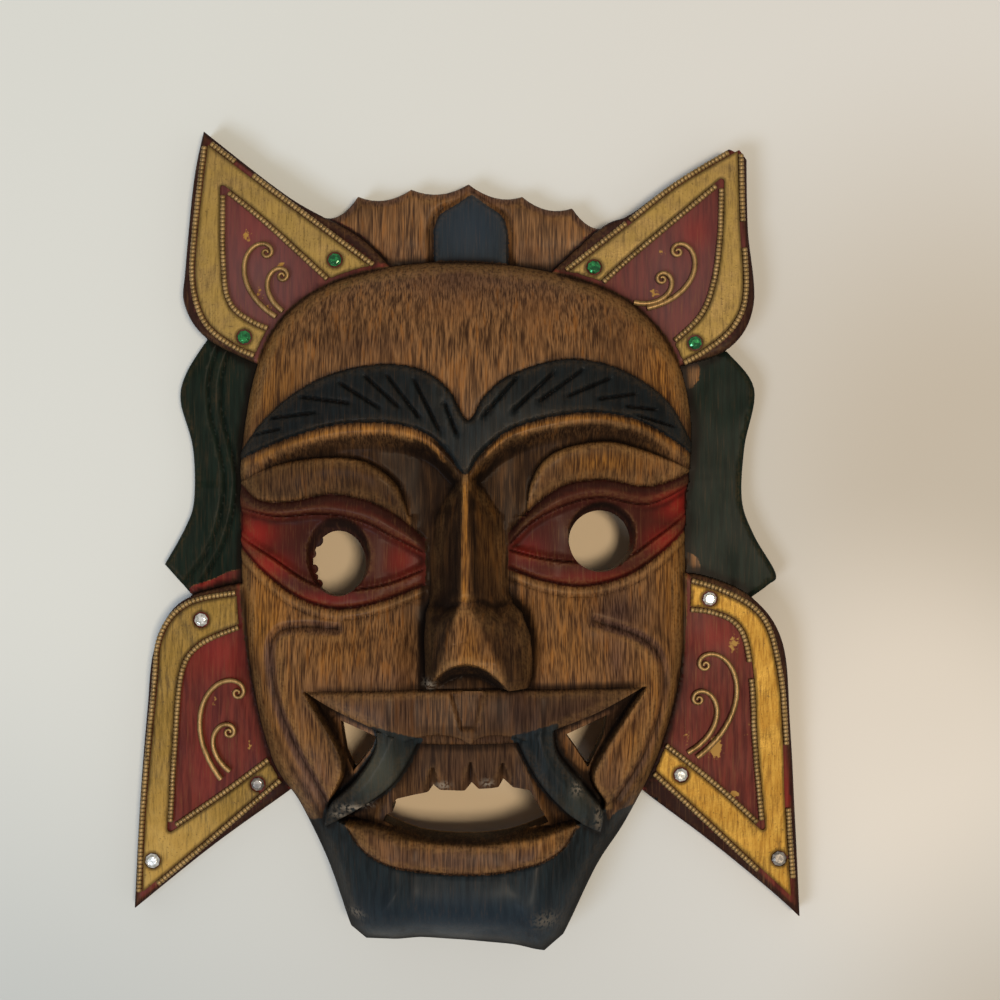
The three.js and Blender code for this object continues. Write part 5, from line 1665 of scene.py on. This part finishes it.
scrolls = []
for name, ear in EARS.items():
    for which, (eye, foot, way) in ear["scrolls"].items():
        piece = scroll(f"{name}_wire_scroll_{which}", ear, eye, foot, way)
        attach(piece, "root")
        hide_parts(f"{name}_scroll_{which}")
        scrolls.append(piece)
print(len(scrolls), "scrolls,", sum(len(piece.data.polygons) for piece in scrolls), "faces")

# %% [markdown]
# ## Glass stones
#
# Each stone is a small pressed-glass chaton, flat on top with slanting facets round it and a foil on its
# back. It is an eight-sided disc whose top is drawn up, shrunk and turned half a facet, which makes the
# facets triangles, and whose bottom is drawn down to the point that sits in the wood.

# %% Stones
STONE_SIDES = 8
GIRDLE = 2.2  # radius
TABLE_SHARE = 0.6  # of the girdle
BIG_STONE = 1.12  # the third stone of an ear, at its tip, is a size larger


def stone(name):
    """A faceted disc with its table up and its point down, in millimetres."""
    bpy.ops.object.select_all(action="DESELECT")
    bpy.ops.mesh.primitive_cylinder_add(vertices=STONE_SIDES, radius=GIRDLE, depth=0.3, end_fill_type="NGON")
    piece = bpy.context.object
    piece.name = piece.data.name = name
    choose(piece, "FACE", centres(piece)[:, 2] > 0.1)
    bpy.ops.mesh.extrude_region_move(TRANSFORM_OT_translate={"value": (0, 0, 0.55)})
    bpy.ops.transform.resize(value=(TABLE_SHARE, TABLE_SHARE, 1))
    half_facet = math.pi / STONE_SIDES
    bpy.ops.transform.rotate(value=half_facet, orient_axis="Z", center_override=(0, 0, 0.7))
    to_object()
    choose(piece, "FACE", centres(piece)[:, 2] < -0.1)
    bpy.ops.mesh.extrude_region_move(TRANSFORM_OT_translate={"value": (0, 0, -0.25)})
    bpy.ops.transform.resize(value=(0.5, 0.5, 1))
    bpy.ops.mesh.select_all(action="SELECT")
    bpy.ops.mesh.quads_convert_to_tris(quad_method="SHORTEST_DIAGONAL")
    bpy.ops.mesh.bevel(offset=0.06, segments=1, affect="EDGES")
    bpy.ops.mesh.normals_make_consistent(inside=False)
    to_object()
    return piece


STONE_MIDDLE = SEAT + 0.45  # height of the girdle above the wood
pattern = stone("pattern_stone")
pattern_places = corners(pattern)
stones = []
for name, ear in EARS.items():
    for i, (sx, sy) in enumerate(ear["stones"]):
        piece = put(f"{name}_glass_stone_{i + 1}", pattern.data.copy())
        turn = math.radians(23 * i + 11)  # no two set alike
        size = BIG_STONE if i == 2 else 1.0
        spun = pattern_places @ np.array(Matrix.Rotation(turn, 3, "Z")).T * [size, size, 1]
        place_corners(piece, to_frame(ear, spun + [sx, sy, STONE_MIDDLE]))
        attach(piece, "root")
        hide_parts(f"{name}_stone_{i + 1}")
        stones.append((piece, ear["glass"]))
bpy.data.objects.remove(pattern)
print(len(stones), "stones")

# %% [markdown]
# ## Tarnished brass, and foil-backed glass
#
# The brass is rolled sheet and drawn wire, never lacquered: dull gold where it is touched, brown tarnish in
# the waists of the beads and along the edges, with fine rubbing scratches along the sheet. The glass is
# pressed and fire-polished. Its foil throws the light back through the colour, so it reads brighter than
# clear glass over wood would.

# %% Brass materials
BRASS_PATTERNS = {"clouds": (9, 1.0, 4.0, 0.65), "scratches": (0.8, 9.0, 4.0, 0.7), "pits": (0.7, 1.0, 2.0, 0.5)}


def brass(name, tones, roughness, scratched=0.55, polished=0.0):
    """Four tones: dull, clean, rubbed bright and tarnished, and how much is scratched or polished bright."""
    material, tree, shader = new_material(name, Metallic=0.6)
    clouds, scratches, pits = patterns_of(tree, BRASS_PATTERNS).values()
    tarnish = node(tree, "ShaderNodeAttribute", output="Fac", attribute_name="tarnish")
    polish = node(tree, "ShaderNodeAttribute", output="Fac", attribute_name="polish")
    dull, clean, bright, brown = tones
    colour = lay(tree, dull, clean, (clouds, 0.35, 0.65, 0.0, 1.0))
    for tone, *guides in (
        (bright, (scratches, 0.4, 0.62, 0.0, scratched)),
        (bright, polish, polished),
        (brown, (scratches, 0.48, 0.3, 0.0, 0.45)),
        (brown, (pits, 0.62, 0.75, 0.0, 0.6)),
        (brown, tarnish, (pits, 0.2, 0.55, 0.95, 0.7)),
    ):
        colour = lay(tree, colour, tone, *guides)
    shine = share_from(tree, (clouds, 0.3, 0.7, roughness - 0.06, roughness + 0.1), (tarnish, 0.0, 1.0, 1.0, 1.4))
    raised = node(tree, "ShaderNodeBump", {"Height": scratches, "Strength": 0.35, "Distance": 0.2 * MM})
    pitted = {"Height": pits, "Strength": 0.35, "Distance": 0.14 * MM, "Normal": raised}
    raised = node(tree, "ShaderNodeBump", pitted)
    drive(tree, shader, Base_Color=colour, Roughness=shine, Normal=raised)
    return material


BRASSES = {
    "upper": brass("tarnished_rolled_brass_sheet", ("#7f683b", "#977d3f", "#ad9150", "#38290f"), 0.55, 0.35),
    "lower_left": brass("brown_rolled_brass_sheet", ("#5c4615", "#735a1e", "#a98840", "#2f2009"), 0.52, 0.35, 0.6),
    "lower_right": brass("golden_rolled_brass_sheet", ("#81601a", "#a07422", "#b8943e", "#38280a"), 0.52),
}
bead_brass = brass("die_rolled_brass_beaded_wire", ("#7b6236", "#977b49", "#b0956a", "#3a2c14"), 0.48)
scroll_brass = brass("drawn_brass_wire", ("#7b6036", "#97784a", "#ab8d5e", "#3f2f15"), 0.45)
# Each gives the eye soft dull gold with brown in its lows, brighter on the lower ears than on the upper ones.
for band in bands:
    give(band, next(look for ear, look in BRASSES.items() if band.name.startswith(ear)))
for wire in wires:
    give(wire, bead_brass)
for piece in scrolls:
    give(piece, scroll_brass)
print(len(BRASSES) + 2, "brasses")

# %% Glass materials
GLASS_PATTERNS = {"flaws": (1.3, 1.0, 2.0, 0.5), "rubbing": (0.5, 1.0, 2.0, 0.5)}


def foiled_glass(name, light, deep, roughness):
    material, tree, shader = new_material(name, Metallic=0.6, Coat_Weight=0.8, Coat_Roughness=0.05)
    flaws, rubbing = patterns_of(tree, GLASS_PATTERNS).values()
    colour = lay(tree, light, deep, (flaws, 0.4, 0.6, 0.0, 1.0))
    rubbed = share_from(tree, (rubbing, 0.45, 0.7, roughness, roughness + 0.1))
    drive(tree, shader, Base_Color=colour, Roughness=rubbed)
    return material


GLASSES = {
    "dull_glass": foiled_glass("dull_foil_backed_pressed_glass", "#a19b93", "#6f6c69", 0.3),
    "green_glass": foiled_glass("green_foil_backed_pressed_glass", "#2f9a55", "#0f5a30", 0.12),
    "clear_glass": foiled_glass("clear_foil_backed_pressed_glass", "#f4f6f4", "#b9bdb8", 0.14),
}
LOST_FOIL = ("lower_left_glass_stone_2", "lower_right_glass_stone_3")  # these look dull and grey
for piece, glass in stones:
    give(piece, GLASSES["dull_glass" if piece.name in LOST_FOIL else glass])
print(len(GLASSES), "glasses")

# %% [markdown]
# ## Table, light and camera
#
# The mask lies on a pale matt table, which gives the eye a soft ground. Its colour holds painted light and shade:
# cooler at the left and warmer at the right, where the lamp stands, soft painted shadows and one lighter patch in
# round zones, and warm painted light inside the hollow, where light comes back off the wood. A large cool window
# is at the lower left and a smaller warm lamp at the right. The camera hangs straight above, sixty centimetres up.

# %% Table
bpy.ops.object.select_all(action="DESELECT")
TABLE_SIZE = 8  # metres
bpy.ops.mesh.primitive_plane_add(size=TABLE_SIZE, location=(0, 0, -0.05 * MM))  # just clear of the flat rim
table = bpy.context.object
table.name = "table"
laid, tree, shader = new_material("pale_matt_tabletop", Roughness=0.7)
where = node(tree, "ShaderNodeTexCoord", output="Object")
across = node(tree, "ShaderNodeSeparateXYZ", {0: where}, "X")
# Painted light and shade on the table: cooler at the left, warmer at the right, darker round zones as soft painted
# shadows, one lighter zone as a pool of painted light, and painted warm light under the mask
tone = lay(tree, "#d3dadb", "#d4d6d5", (across, -0.15, 0.2, 0.0, 1.0))
for centre, near, far, strength, shade in (  # round zones: middle, where one starts to fade and ends, in metres
    ((0.0, -0.3, 0), 0.1, 0.26, 0.7, "#b5bbbe"),
    ((-0.19, -0.2, 0), 0.02, 0.2, 0.6, "#a6b1b8"),
    ((0.17, 0.02, 0), 0.02, 0.16, 0.6, "#aa9c84"),
    ((0.145, -0.066, 0), 0.02, 0.088, 0.65, "#e0dbd2"),
    ((0.2, -0.19, 0), 0.02, 0.12, 0.6, "#a59c8b"),
    ((0.0, -0.03, 0), 0.064, 0.07, 0.85, "#dcc7a5"),
):
    away = node(tree, "ShaderNodeVectorMath", {0: where, 1: centre}, "Value", operation="DISTANCE")
    tone = lay(tree, tone, shade, (away, near, far, strength, 0.0))
drive(tree, shader, Base_Color=tone)
give(table, laid)
table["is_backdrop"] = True
print("table laid")

# %% Light
def area_light(name, place, size, power, colour):
    data = bpy.data.lights.new(name, "AREA")
    data.shape, data.size, data.energy = "SQUARE", size, power
    data.color = linear(colour)[:3]
    lamp = put(name, data)
    lamp.location = place
    lamp.rotation_mode = "QUATERNION"
    lamp.rotation_quaternion = (-Vector(place)).to_track_quat("-Z", "Y")


area_light("cool_window", (-1.35, -1.1, 2.4), 1.0, 30, "#dde9fb")
area_light("warm_lamp", (0.47, -0.14, 2.6), 0.42, 40, "#ffe9cb")
world = bpy.data.worlds.new("soft_room")
bpy.context.scene.world = world
world.use_nodes = True
world.node_tree.nodes["Background"].inputs["Color"].default_value = linear("#f2efe9")
world.node_tree.nodes["Background"].inputs["Strength"].default_value = 0.35
bpy.context.scene.view_settings.view_transform = "Standard"
print("two lights and a soft room")

# %% Camera
CAMERA_MM = (10.9, 12.9, 600)  # on the plan, and up
FRAME_MM = 330  # what the camera sees of the table, from side to side
SENSOR_MM = 36
data = bpy.data.cameras.new("camera")
data.sensor_width = SENSOR_MM
data.lens = SENSOR_MM * CAMERA_MM[2] / FRAME_MM
camera = put("camera", data)
camera.location = Vector((CAMERA_MM[0] + SHIFT[0], CAMERA_MM[1] + SHIFT[1], CAMERA_MM[2])) * MM
bpy.context.scene.camera = camera
print("camera", CAMERA_MM[2], "mm up, with a lens of", round(data.lens, 1), "mm")

# %% Sizes
low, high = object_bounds()
